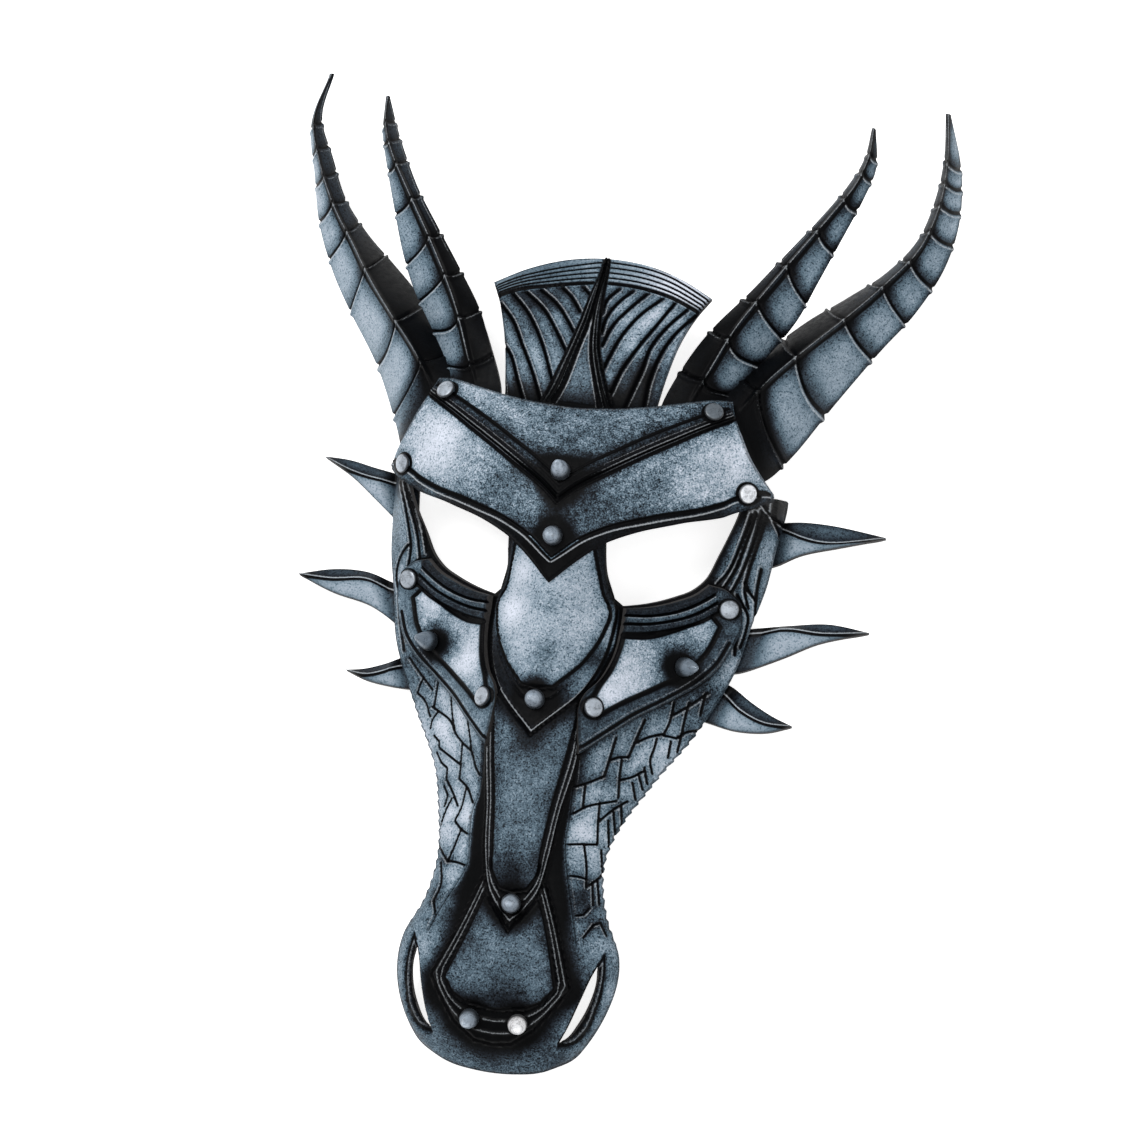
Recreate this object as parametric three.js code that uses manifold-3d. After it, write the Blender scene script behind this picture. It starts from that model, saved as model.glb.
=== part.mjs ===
// A dragon face mask of moulded and painted leather, lying on its back edge.
// Millimetres. +X is the viewer's right, +Y runs from the chin to the horns, +Z points out of the face.
// The face is one moulded shell. A forehead plate and two cheek plates are riveted over it,
// and a crest, four folded horns and six folded spikes are tucked behind its edges.
import * as THREE from 'three';
import Module from 'manifold-3d';
import { mergeVertices } from 'three/addons/utils/BufferGeometryUtils.js';

const wasm = await Module();
wasm.setup();

// Leather, gaps and fasteners; MIDDLE_Y is the middle of the mask's length in the sections' own scale
const MIDDLE_Y = 35.5;
const SHELL_THICK = 2.5;
const PLATE_THICK = 3.0;
const CREST_THICK = 2.4;
const HORN_THICK = 2.6;
const SPIKE_THICK = 2.6;
const GAP = 0.3;
const PLATE_LOW = GAP;
const PLATE_TOP = GAP + PLATE_THICK;
const TUCK = 0.7;
const RIVET_RADIUS = 4.5;
const RIVET_RISE = 1.9;
const STUD_RADIUS = 4.6;
const STUD_RISE = 12;
const CAP_SIDES = 9;

// The mould's cross sections from the chin to the forehead: where along Y, the half width,
// and the heights of the outer face at the parts of the half width that ACROSS names
const ACROSS = [0, 0.25, 0.5, 0.75, 0.9, 1];
const SECTIONS = [
  { y: -200, half: 24, rise: [5, 5, 5, 4, 3, 0] },
  { y: -185, half: 38.5, rise: [20, 20, 18, 13, 8, 1] },
  { y: -165, half: 49.5, rise: [29, 29, 28, 22.5, 17, 9] },
  { y: -140, half: 51, rise: [34, 33.5, 31.5, 27, 23.5, 17] },
  { y: -124, half: 43.5, rise: [37, 36, 33, 28, 25, 20] },
  { y: -100, half: 39.5, rise: [43, 41.5, 37, 31, 27.5, 23] },
  { y: -80, half: 44, rise: [45, 43, 37, 30, 26, 22] },
  { y: -60, half: 52, rise: [47, 45, 36, 25, 20, 15] },
  { y: -33, half: 67, rise: [50, 46, 35, 19, 13, 7.5] },
  { y: 0, half: 82, rise: [55, 44, 28, 18, 13.5, 7.5] },
  { y: 20, half: 86, rise: [57, 43, 27, 17, 13, 7.5] },
  { y: 41, half: 91, rise: [62, 56, 40, 25, 18, 7] },
  { y: 58, half: 93, rise: [65, 62, 53, 38, 27, 7] },
  { y: 84, half: 95, rise: [62, 61.5, 57, 46, 33, 2] },
  { y: 110, half: 92, rise: [53, 53.5, 53, 47, 38, 12] },
  { y: 128, half: 86, rise: [45, 45, 44, 38, 30, 16] },
];

// Grid lines that every layer of the mould shares: a row every so far along Y,
// and columns at these parts of the half width, the last at the rim
const ROW_PITCH = 15;
const COLUMNS = [0, 0.14, 0.28, 0.44, 0.6, 0.77, 0.91, 1];

// Leather and metal finishes
const leather = (colour) =>
  new THREE.MeshStandardMaterial({ color: colour, roughness: 0.5, metalness: 0 });
const FINISH = {
  shell: leather(0x4c5964),
  plate: leather(0x71828f),
  crest: leather(0x39434b),
  horn: leather(0x5d6c78),
  spike: leather(0x55646f),
  metal: new THREE.MeshStandardMaterial({ color: 0x8a98a3, roughness: 0.35, metalness: 0.6 }),
};

// Closed solids from grids and outlines
function toSolid(geometry) {
  const bare = geometry.clone();
  bare.deleteAttribute('normal');
  bare.deleteAttribute('uv');
  const welded = mergeVertices(bare, 1e-4);
  return new wasm.Manifold(new wasm.Mesh({
    numProp: 3,
    vertProperties: new Float32Array(welded.attributes.position.array),
    triVerts: new Uint32Array(welded.index.array),
  }));
}

function toGeometry(solid) {
  const mesh = solid.getMesh();
  const geometry = new THREE.BufferGeometry();
  geometry.setAttribute('position', new THREE.BufferAttribute(new Float32Array(mesh.vertProperties), 3));
  geometry.setIndex(new THREE.BufferAttribute(new Uint32Array(mesh.triVerts), 1));
  return geometry;
}

// A closed slab between an upper and a lower grid of points, rows by columns.
// The diagonals of its cells lean the other way left of the middle, so that a symmetrical grid stays so.
function gridSlab(upper, lower) {
  const rows = upper.length;
  const columns = upper[0].length;
  const points = [...upper.flat(), ...lower.flat()];
  const top = (i, j) => i * columns + j;
  const low = (i, j) => rows * columns + i * columns + j;
  const faces = [];
  const quad = (a, b, c, d) => faces.push(a, b, c, a, c, d);
  const middle = (columns - 1) / 2;
  for (let i = 0; i < rows - 1; i++) {
    for (let j = 0; j < columns - 1; j++) {
      const above = [top(i, j), top(i, j + 1), top(i + 1, j + 1), top(i + 1, j)];
      const below = [low(i, j), low(i + 1, j), low(i + 1, j + 1), low(i, j + 1)];
      if (j < middle) {
        above.push(above.shift());
        below.push(below.shift());
      }
      quad(...above);
      quad(...below);
    }
    quad(top(i, 0), top(i + 1, 0), low(i + 1, 0), low(i, 0));
    quad(top(i + 1, columns - 1), top(i, columns - 1), low(i, columns - 1), low(i + 1, columns - 1));
  }
  for (let j = 0; j < columns - 1; j++) {
    quad(top(0, j + 1), top(0, j), low(0, j), low(0, j + 1));
    quad(top(rows - 1, j), top(rows - 1, j + 1), low(rows - 1, j + 1), low(rows - 1, j));
  }
  const geometry = new THREE.BufferGeometry();
  const flat = points.flatMap((p) => [p.x, p.y, p.z]);
  geometry.setAttribute('position', new THREE.Float32BufferAttribute(flat, 3));
  geometry.setIndex(faces);
  return geometry;
}

// Upright block over an outline in the plan, tall enough to pass any part of the mask
function prism(outline) {
  const BELOW = -30;
  const TALL = 160;
  const shape = new THREE.Shape(outline.map(([x, y]) => new THREE.Vector2(x, y)));
  const geometry = new THREE.ExtrudeGeometry(shape, { depth: TALL, bevelEnabled: false });
  geometry.translate(0, 0, BELOW);
  return toSolid(geometry);
}

// The same solid on the other side of the mask
function mirrorSolid(solid) {
  const geometry = toGeometry(solid);
  geometry.scale(-1, 1, 1);
  const index = geometry.index.array;
  for (let i = 0; i < index.length; i += 3) [index[i], index[i + 1]] = [index[i + 1], index[i]];
  return toSolid(geometry);
}

const joined = (solids) => solids.reduce((whole, solid) => whole.add(solid));

const mirrored = (outline) => outline.map(([x, y]) => [-x, y]).reverse();

// Full outline from its right half, listed from the top middle down to the bottom middle
const bothSides = (half) => [...half, ...half.filter(([x]) => x > 0.01).reverse().map(([x, y]) => [-x, y])];

// Band of constant or changing width along a line in the plan
function band(points, width, endWidth = width) {
  const left = [];
  const right = [];
  points.forEach(([x, y], i) => {
    const [xa, ya] = points[Math.max(i - 1, 0)];
    const [xb, yb] = points[Math.min(i + 1, points.length - 1)];
    const length = Math.hypot(xb - xa, yb - ya);
    const w = THREE.MathUtils.lerp(width, endWidth, i / (points.length - 1)) / 2;
    left.push([x - (w * (yb - ya)) / length, y + (w * (xb - xa)) / length]);
    right.push([x + (w * (yb - ya)) / length, y - (w * (xb - xa)) / length]);
  });
  return [...left, ...right.reverse()];
}

// The same outline moved outwards by a margin
function grown(outline, margin) {
  const area = THREE.ShapeUtils.area(outline.map(([x, y]) => new THREE.Vector2(x, y)));
  const turn = Math.sign(area);
  return outline.map(([x, y], i) => {
    const [xa, ya] = outline[(i + outline.length - 1) % outline.length];
    const [xb, yb] = outline[(i + 1) % outline.length];
    const before = new THREE.Vector2(y - ya, xa - x).normalize();
    const after = new THREE.Vector2(yb - y, x - xb).normalize();
    const mid = before.clone().add(after).normalize();
    const stretch = Math.min(1 / Math.max(mid.dot(before), 0.2), 2.5);
    return [x + mid.x * margin * stretch * turn, y + mid.y * margin * stretch * turn];
  });
}

// Smooth curve through values at given places, flat or straight at its two ends
function through(places, values, at, flatStart = false) {
  const last = places.length - 1;
  let k = 0;
  while (k < last - 1 && places[k + 1] <= at) k++;
  const rate = (n) => (values[n + 1] - values[n]) / (places[n + 1] - places[n]);
  const slope = (n) => {
    if (n === 0) return flatStart ? 0 : rate(0);
    if (n === last) return rate(last - 1);
    const before = places[n] - places[n - 1];
    const after = places[n + 1] - places[n];
    return (after * rate(n - 1) + before * rate(n)) / (before + after);
  };
  if (at > places[last]) return values[last] + slope(last) * (at - places[last]);
  const step = places[k + 1] - places[k];
  const t = (at - places[k]) / step;
  return values[k] * (1 + 2 * t) * (1 - t) ** 2 + slope(k) * step * t * (1 - t) ** 2
    + values[k + 1] * t * t * (3 - 2 * t) + slope(k + 1) * step * t * t * (t - 1);
}

// Half width and heights of the mould's outer face
const PLACES = SECTIONS.map((section) => section.y);
const heldInside = (y) => THREE.MathUtils.clamp(y, PLACES[0], PLACES[PLACES.length - 1]);
const halfWidth = (y) => through(PLACES, SECTIONS.map((section) => section.half), heldInside(y));

function faceHeight(x, y) {
  const held = heldInside(y);
  const rise = ACROSS.map((_, n) => through(PLACES, SECTIONS.map((section) => section.rise[n]), held));
  return through(ACROSS, rise, Math.abs(x) / halfWidth(y), true);
}

function faceNormal(x, y) {
  const STEP = 0.5;
  const alongX = (faceHeight(x + STEP, y) - faceHeight(x - STEP, y)) / (2 * STEP);
  const alongY = (faceHeight(x, y + STEP) - faceHeight(x, y - STEP)) / (2 * STEP);
  return new THREE.Vector3(-alongX, -alongY, 1).normalize();
}

// Point at a depth above (+) or below (-) the mould's outer face
function offFace(x, y, depth) {
  return new THREE.Vector3(x, y, faceHeight(x, y)).addScaledVector(faceNormal(x, y), depth);
}

// Layer of the mould between two depths, over a stretch of Y
function layer(low, high, yFrom, yTo) {
  const across = [...COLUMNS.slice(1).reverse().map((share) => -share), ...COLUMNS];
  const grid = (depth) => {
    const rows = [];
    for (let i = Math.floor(yFrom / ROW_PITCH); i <= Math.ceil(yTo / ROW_PITCH); i++) {
      const y = i * ROW_PITCH;
      rows.push(across.map((share) => offFace(share * halfWidth(y), y, depth)));
    }
    return rows;
  };
  return toSolid(gridSlab(grid(high), grid(low)));
}

// Outlines in the plan: the right half, or the piece on the right-hand side
const PLATE_HALF = [
  [0, 103], [17, 104], [35, 107], [50, 111], [62, 114.5], [69, 115.5], [71, 110], [76, 100],
  [81, 89.5], [85, 84], [88.5, 80.5], [88, 76.5], [82, 70.5], [72.5, 64.5], [52, 56.5], [36, 50],
  [27, 45], [18, 39], [8, 30], [0, 20],
];
const EYE = [
  [23, 42.5], [24, 29], [27, 20.5], [31, 18.2], [41, 21.8], [52, 26.8], [60, 31.5], [65, 36.5],
  [70, 46], [79, 66], [80, 69.5], [72, 66.5], [52, 58.5], [35, 51.5],
];
const CHEEK = [
  [30.5, 17.2], [41, 20.8], [52, 25.8], [60.5, 30.6], [66, 35.6], [74, 34.5], [80, 30], [81.2, 21],
  [78.5, 10], [74, -1], [66.5, -10.5], [54, -20.5], [42, -31], [31.5, -42.5], [20.5, -54],
  [19, -41], [18.6, -33], [20.4, -26.8], [24.8, -20], [28.2, -11], [30, -2], [30.5, 6],
];
const NOSTRIL = [
  [45, -141], [46.3, -152], [45, -165], [41.5, -175], [35.5, -181.5], [30, -183.5], [33.5, -176.5],
  [38, -163], [41.5, -150],
];
const TEMPLE_END = 88;
const CHIN_END = -198;
const SHELL_TOP = [[0, 74], [64, 74], [75, 79.5], [88, 79.5], [100, 88]];
const CHIN = [[60, -186], [37.5, -186], [29, -192], [20, -195.8], [10, -197.5], [0, -198]];

// Carved lines of the shell, right half
const NOSE_PANEL = [[17, 42], [19.5, 30], [21.5, 21], [25, 13], [24, 4], [17.5, -13], [7, -26.5], [0, -28]];
const NOSE_BAND = [[23.2, 42], [24, 27], [28, 14.5], [28, 6], [26, -9], [20.5, -24.5], [0, -49.5]];
const SNOUT_PANEL = [[20, -30], [16.5, -54], [13, -78], [10.8, -101], [10, -111], [6, -118], [0, -119.5]];
const SNOUT_BAND = [[22.5, -30], [20.5, -61], [17, -82], [14.5, -106], [12, -118], [0, -137]];
const TIP_PANEL = [[12.2, -123], [23.5, -160], [17, -168.5], [0, -171]];
const TIP_BAND = [[14.5, -115], [32.2, -158], [31.5, -162], [19.5, -181], [15, -185.5], [0, -187]];
const CARVE = 1.3;
const LINE = 1.6;
const PLATE_CLEAR = 0.8;

// Relief laid on the mould's face inside an outline, between two depths
function raised(outline, rise, from = -1) {
  const along = outline.map((point) => point[1]);
  return layer(from, rise, Math.min(...along) - 1, Math.max(...along) + 1).intersect(prism(outline));
}

// Scales pressed into the sides of the snout: slanted tiles in staggered lanes
function scaleOutlines() {
  const FIRST_ROW = -48;
  const LAST_ROW = -124;
  const TILE = 19;
  const SLANT = 3.5;
  const GROOVE = 1.4;
  const LANES = 2;
  const INNER = 25;
  const EDGE = 1.5;
  const tiles = [];
  for (let y = FIRST_ROW; y > LAST_ROW; y -= TILE) {
    for (let lane = 0; lane < LANES; lane++) {
      const lift = lane % 2 ? TILE / 2 : 0;
      const slant = lane % 2 ? -SLANT : SLANT;
      const corner = (side, drop) => {
        const at = y + lift - drop + (side ? -slant : slant);
        const x = THREE.MathUtils.lerp(INNER, halfWidth(at) - EDGE, (lane + side) / LANES);
        return [x + (side ? -GROOVE / 2 : GROOVE / 2), at];
      };
      tiles.push([corner(0, 0), corner(0, TILE - GROOVE), corner(1, TILE - GROOVE), corner(1, 0)]);
    }
  }
  return tiles;
}

// Fold lines of the temple, fanning from the brow corner to the outer corner of the eye
function templeOutlines() {
  const FOLDS = 3;
  const folds = [];
  for (let n = 0; n < FOLDS; n++) {
    const share = n / (FOLDS - 1);
    const foot = [THREE.MathUtils.lerp(67.5, 82, share), THREE.MathUtils.lerp(38, 31.5, share)];
    const waist = [THREE.MathUtils.lerp(74, 86.5, share), THREE.MathUtils.lerp(50, 52, share)];
    const head = [THREE.MathUtils.lerp(83, 88.5, share), THREE.MathUtils.lerp(67, 71, share)];
    folds.push(band([foot, waist, head], 2.8, 1.6));
  }
  return folds;
}

function faceShell() {
  const outline = bothSides([...SHELL_TOP, ...CHIN]);
  const chain = [[TIP_PANEL, TIP_BAND], [SNOUT_PANEL, SNOUT_BAND], [NOSE_PANEL, NOSE_BAND]];
  const tiles = [...scaleOutlines(), ...templeOutlines()];
  let carving = joined(tiles.flatMap((tile) => [raised(tile, CARVE), raised(mirrored(tile), CARVE)]));
  for (const [panel, band] of chain) {
    carving = carving
      .subtract(prism(grown(bothSides(band), LINE)))
      .add(raised(bothSides(band), CARVE))
      .add(raised(bothSides(panel), 2 * CARVE));
  }
  const plates = [bothSides(PLATE_HALF), CHEEK, mirrored(CHEEK)];
  const covered = plates.map((edge) => prism(grown(edge, PLATE_CLEAR)));
  const holes = [EYE, mirrored(EYE), NOSTRIL, mirrored(NOSTRIL)].map(prism);
  return layer(-SHELL_THICK, 0, CHIN_END, TEMPLE_END)
    .add(carving.subtract(joined(covered)))
    .intersect(prism(outline))
    .subtract(joined(holes));
}

// Forehead plate with its dark V band, the two ridges on it, and the raised edge over the brows
const V_UPPER = [[67.5, 110.5], [47, 98.5], [25, 84], [9, 73], [0, 66]];
const V_LOWER = [[72, 107], [45, 88], [21, 71], [6, 60.5], [0, 55]];
const BROW_UPPER = [[86, 79], [61, 64], [41, 56.5], [24, 49], [11, 41], [0, 31]];
const RIDGE_RISE = 1.2;
const FIELD_RISE = 0.6;

function foreheadPlate() {
  const outline = bothSides(PLATE_HALF);
  const vShape = [
    ...V_UPPER, ...V_UPPER.slice(0, -1).reverse().map(([x, y]) => [-x, y]),
    ...V_LOWER.slice(0, -1).map(([x, y]) => [-x, y]), ...V_LOWER.slice().reverse(),
  ];
  const browShape = [
    ...BROW_UPPER, ...BROW_UPPER.slice(0, -1).reverse().map(([x, y]) => [-x, y]),
    [-60, 10], [60, 10],
  ];
  const rise = (shape) => raised(shape, PLATE_TOP + RIDGE_RISE, PLATE_TOP - 1);
  return layer(PLATE_LOW, PLATE_TOP, 20, 116)
    .add(joined([vShape, browShape].map(rise)))
    .intersect(prism(outline));
}

// Cheek plate with three ridges along the eye and a wide raised band along its lower edge
const EYE_EDGE = [[29, 17.3], [41, 20.8], [57, 28.6], [67, 36]];
const CHEEK_FIELD = [
  [31, 3], [41, 5.5], [54, 12.5], [67.5, 23.2], [72.5, 17.5], [68, 4], [60.5, -6], [48.5, -15.5],
  [36, -26.5], [25.5, -36.5], [22.8, -30], [24.6, -23.5], [28, -14.5], [30, -5],
];
const EYE_RIDGES = 3;

function cheekPlate() {
  const ridges = [];
  for (let n = 0; n < EYE_RIDGES; n++) {
    const drop = 2 + n * 4.4;
    ridges.push(band(EYE_EDGE.map(([x, y], i) => [x + drop * 0.12 * i, y - drop * (1 - 0.08 * i)]), 2.8));
  }
  return layer(PLATE_LOW, PLATE_TOP, -54, 36)
    .add(joined(ridges.map((ridge) => raised(ridge, PLATE_TOP + RIDGE_RISE, PLATE_TOP - 1))))
    .add(raised(CHEEK_FIELD, PLATE_TOP + FIELD_RISE, PLATE_TOP - 1))
    .intersect(prism(CHEEK));
}

// Crest: a fan whose lower end lies under the forehead plate
const CREST_HALF = [
  [0, 184], [19, 182], [37, 176], [52.5, 167.5], [48.5, 159.5], [42, 141], [38, 122], [36, 108],
  [35, 93], [0, 93],
];
const CREST_ARC = [[0, 184], [19, 182], [37, 176], [53, 167]];
const CREST_LINES = 3;
const CREST_STRANDS = 5;
const CREST_RISE = 1.2;
const CREST_LEG = [[0.8, 182], [4.5, 155], [8.5, 132], [18, 110]];
const CREST_TONGUE = [[0, 146], [-6, 122], [-11, 109], [11, 109], [6, 122]];

// Height of the crest's face: it follows the mould under the plate, then runs free,
// falling to its sides and top
const CREST_FREE_FROM = 108;
const CREST_PROFILE = [[126, 54], [146, 52.5], [166, 47], [186, 39.5]];
const CREST_DIP = 0.0016;

function crestHeight(x, y) {
  const held = [CREST_FREE_FROM - 10, CREST_FREE_FROM];
  if (y <= CREST_FREE_FROM) return faceHeight(x, y) - TUCK;
  const places = [...held, ...CREST_PROFILE.map((p) => p[0])];
  const heights = [
    ...held.map((at) => faceHeight(x, at) - TUCK),
    ...CREST_PROFILE.map((p) => p[1] - CREST_DIP * x * x),
  ];
  return through(places, heights, y);
}

// One strand of the fan, from under its top band down to the middle rib or the plate
function crestStrand(n) {
  const FLOOR = 100;
  const legAt = (y) => through(CREST_LEG.map((p) => -p[1]), CREST_LEG.map((p) => p[0]), -y);
  const head = new THREE.Vector2(9.5 + 8.4 * n, 166.5 - 0.3 * n - 0.24 * n * n);
  const footY = Math.max(150 - 18 * n, FLOOR);
  const foot = new THREE.Vector2(footY > FLOOR ? legAt(footY) + 4 : 20 + 6 * (n - 3), footY);
  const bend = new THREE.Vector2(
    THREE.MathUtils.lerp(foot.x, head.x, 0.42),
    THREE.MathUtils.lerp(foot.y, head.y, 0.56),
  );
  return band([foot, bend, head].map((p) => [p.x, p.y]), 3, 5.2);
}

function crest() {
  const COLUMN = 27;
  const COLUMNS_A_SIDE = 2;
  const ROW = 17;
  const ROWS = 6;
  const FIRST_ROW = 84;
  const gridAt = (depth) => {
    const rows = [];
    for (let i = 0; i <= ROWS; i++) {
      const y = FIRST_ROW + i * ROW;
      const row = [];
      for (let j = -COLUMNS_A_SIDE; j <= COLUMNS_A_SIDE; j++) {
        const x = j * COLUMN;
        row.push(new THREE.Vector3(x, y, crestHeight(x, y) + depth));
      }
      rows.push(row);
    }
    return rows;
  };
  const sheet = (low, high) => toSolid(gridSlab(gridAt(high), gridAt(low)));
  const leg = band(CREST_LEG, 2.2, 3);
  const shapes = [CREST_TONGUE, leg, mirrored(leg)];
  for (let n = 0; n < CREST_LINES; n++) {
    const half = CREST_ARC.map(([x, y]) => [x * (1 - 0.035 * n), y - 2 - 4.6 * n]);
    shapes.push(band([...half.slice(1).reverse().map(([x, y]) => [-x, y]), ...half], 2.4));
  }
  for (let n = 0; n < CREST_STRANDS; n++) {
    const strand = crestStrand(n);
    shapes.push(strand, mirrored(strand));
  }
  const outline = prism(bothSides(CREST_HALF));
  const ridges = sheet(-1, CREST_RISE);
  const relief = joined(shapes.map((shape) => ridges.intersect(prism(shape))));
  return sheet(-CREST_THICK, 0)
    .add(relief.subtract(prism(grown(bothSides(PLATE_HALF), PLATE_CLEAR))))
    .intersect(outline);
}

// Horns: leather folded along a raised rib, so that a wide face looks outwards and a narrow one inwards.
// Each is given by its rib, its outer edge and its inner edge; the first two points lie under the plate.
const OUTER_HORN = {
  rib: [[69, 101], [73, 112.5], [85, 130, 43], [100, 148, 39.5], [116, 168, 31.5], [130, 188, 23],
    [143, 207, 21], [151, 226, 31], [153.5, 243, 43], [150.5, 268.5, 38]],
  outer: [[78, 84.5], [86, 84], [96, 102, 17], [111.5, 131.5, 10], [129, 157.5, 12], [142.5, 179, 8],
    [153.5, 203, 6.5], [158.5, 226, 11], [158.5, 245, 28], [151.5, 268.5, 37]],
  inner: [[66.5, 104], [68, 115], [79.3, 137, 43], [97.5, 161, 26], [112, 182, 14], [127, 198, 10],
    [140, 214, 13], [147, 231, 22], [151, 246, 38], [149, 269, 37]],
};
const INNER_HORN = {
  rib: [[50, 98], [51, 112], [57.5, 130, 50], [66, 150, 49], [77, 170, 46], [89, 190, 44],
    [101.5, 210, 43], [112, 228, 42.5], [117, 242, 45], [117.8, 255.5, 47]],
  outer: [[61, 98], [63.5, 112.5], [68.2, 124, 41], [80, 143, 34], [92, 162, 34.5], [100, 180, 38],
    [108, 202, 37], [116, 225, 35.5], [120, 240, 37], [118.8, 255, 46]],
  inner: [[39, 98], [38.5, 112], [47, 133, 52], [56, 152, 46.5], [70, 173, 41], [84, 193, 40],
    [97, 212, 38.5], [107, 230, 35], [113.5, 244, 36], [116.8, 255.6, 46]],
};
const SEGMENT_FIRST = 1.6;
const SEGMENT_STEP = 1.3;
const SEGMENT_SHRINK = 0.92;
const SEGMENT_LIP = 1.3;
const RIB_RISE = 1.6;

function hornSolid(shape) {
  const space = ([x, y, z]) => new THREE.Vector3(x, y, z ?? faceHeight(x, y) - TUCK);
  const curve = (points) => new THREE.CatmullRomCurve3(points.map(space), false, 'catmullrom', 0.5);
  const rib = curve(shape.rib);
  const outer = curve(shape.outer);
  const inner = curve(shape.inner);
  const end = shape.rib.length - 1;
  const rows = [[0, 0], [0.6, 0], [1, 0], [1.3, 0]];
  let at = SEGMENT_FIRST;
  for (let step = SEGMENT_STEP; at < end - 0.2; step *= SEGMENT_SHRINK) {
    rows.push([at - 0.01, 0], [at + 0.01, SEGMENT_LIP]);
    at += step;
  }
  rows.push([end, 0]);
  const upper = [];
  const lower = [];
  for (const [u, lip] of rows) {
    const taper = Math.min(1, 1.35 * (1 - u / (end + 1.2)));
    const R = rib.getPoint(u / end);
    const O = outer.getPoint(u / end);
    const I = inner.getPoint(u / end);
    const along = rib.getTangent(u / end);
    const faceOut = new THREE.Vector3().subVectors(O, R).cross(along).normalize();
    const faceIn = new THREE.Vector3().subVectors(R, I).cross(along).normalize();
    const atRib = faceOut.clone().add(faceIn).normalize();
    const sideOut = new THREE.Vector3().subVectors(O, R).normalize();
    const sideIn = new THREE.Vector3().subVectors(I, R).normalize();
    const free = THREE.MathUtils.clamp((u - 1) / 0.6, 0, 1);
    const lift = lip * taper;
    const column = (from, to, share, normal, rise, side = null) => {
      const point = new THREE.Vector3().lerpVectors(from, to, share);
      point.addScaledVector(normal, rise * free + lift);
      if (side) point.addScaledVector(side, lift);
      upper[upper.length - 1].push(point);
      const thick = HORN_THICK * Math.max(taper, 0.45) + rise * free + lift;
      lower[lower.length - 1].push(point.clone().addScaledVector(normal, -thick));
    };
    upper.push([]);
    lower.push([]);
    column(R, I, 1, faceIn, 0, sideIn);
    column(R, I, 0.1, atRib, 0);
    column(R, O, 0, atRib, RIB_RISE * taper);
    column(R, O, 0.08, atRib, 0);
    column(R, O, 1, faceOut, 0, sideOut);
  }
  return toSolid(gridSlab(upper, lower));
}

// Spikes: leaf shapes folded along a rib, tucked under the rim of the shell. Each side's are given by
// their upper edge, rib and lower edge, from inside the rim to the tip.
const SPIKES = [
  {
    right: {
      upper: [[84, 73], [92, 74], [104, 75], [120, 74], [143.4, 70.4]],
      rib: [[84, 71], [92, 71.5], [103, 67], [118, 65.5], [143.4, 70.4]],
      lower: [[80, 50], [91.5, 53], [104, 59.5], [121, 64.3], [143.4, 70.4]],
    },
    left: {
      upper: [[84, 79], [94, 81], [106, 83], [119, 85.5], [132, 86]],
      rib: [[84, 76], [94, 76.5], [105, 77.2], [117, 80], [132, 86]],
      lower: [[80, 50], [88.5, 55.5], [102.5, 66.5], [117, 77.6], [132, 86]],
    },
  },
  {
    right: {
      upper: [[77, 19], [88, 21.3], [104, 24], [122, 26], [141.8, 23.5]],
      rib: [[77, 17], [88, 19], [104, 21.5], [120, 21], [141.8, 23.5]],
      lower: [[77, -1.5], [85, 0.5], [102, 8.4], [119, 17], [141.8, 23.5]],
    },
    left: {
      upper: [[76, 24], [87, 26.5], [101, 30.5], [117, 30], [134, 25.8]],
      rib: [[76, 21], [87, 23], [101, 26.5], [117, 25], [134, 25.8]],
      lower: [[73, -2], [82, 6], [97, 14.5], [116, 19], [134, 25.8]],
    },
  },
  {
    right: {
      upper: [[69, -5], [79.5, -7], [90.5, -14], [101, -19.7], [111.4, -23.8]],
      rib: [[67, -8], [77, -11], [86, -18.5], [98, -23.5], [111.4, -23.8]],
      lower: [[62, -23], [72.5, -25.5], [85, -28], [99, -27.6], [111.4, -23.8]],
    },
    left: {
      upper: [[66, -6], [76, -8.4], [85, -13], [94, -16.5], [103.2, -18.3]],
      rib: [[65, -10], [75, -12], [84, -17], [93, -19.5], [103.2, -18.3]],
      lower: [[62, -23], [71.5, -23.6], [82, -23.3], [93, -21.8], [103.2, -18.3]],
    },
  },
];
const SPIKE_ROWS = [0, 0.15, 0.3, 0.45, 0.62, 0.8, 0.97];
const SPIKE_FREE_FROM = 0.3;
const SPIKE_FOLD = 5;
const SPIKE_TIP_UP = 3;
const SPIKE_CLEAR = 8;

// Lowest height of the shell's rim over a stretch of Y
function underRim(yFrom, yTo) {
  let lowest = Infinity;
  for (let y = yFrom; y <= yTo; y += 1) {
    lowest = Math.min(lowest, offFace(halfWidth(y), y, -SHELL_THICK).z);
  }
  return lowest;
}

function spike(shape) {
  const root = [shape.lower[0][1], shape.upper[0][1]];
  const top = underRim(root[0] - SPIKE_CLEAR, root[1] + SPIKE_CLEAR) - GAP;
  const curve = (points) => new THREE.SplineCurve(points.map(([x, y]) => new THREE.Vector2(x, y)));
  const [above, rib, below] = [shape.upper, shape.rib, shape.lower].map(curve);
  const upper = [];
  const lower = [];
  for (const share of SPIKE_ROWS) {
    const free = Math.max(0, (share - SPIKE_FREE_FROM) / (1 - SPIKE_FREE_FROM));
    const fold = SPIKE_FOLD * Math.min(free * 5, 1) * (1 - 0.7 * free);
    const base = top + SPIKE_TIP_UP * free;
    const column = (place, high) => new THREE.Vector3(place.x, place.y, base + fold * high);
    const atRib = rib.getPoint(share);
    const atLower = below.getPoint(share);
    const row = [
      column(above.getPoint(share), 0), column(atRib, 1),
      column(atRib.clone().lerp(atLower, 0.5), 0.7), column(atLower, 0),
    ];
    upper.push(row);
    lower.push(row.map((p) => p.clone().setZ(p.z - SPIKE_THICK)));
  }
  return toSolid(gridSlab(upper, lower));
}

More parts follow.
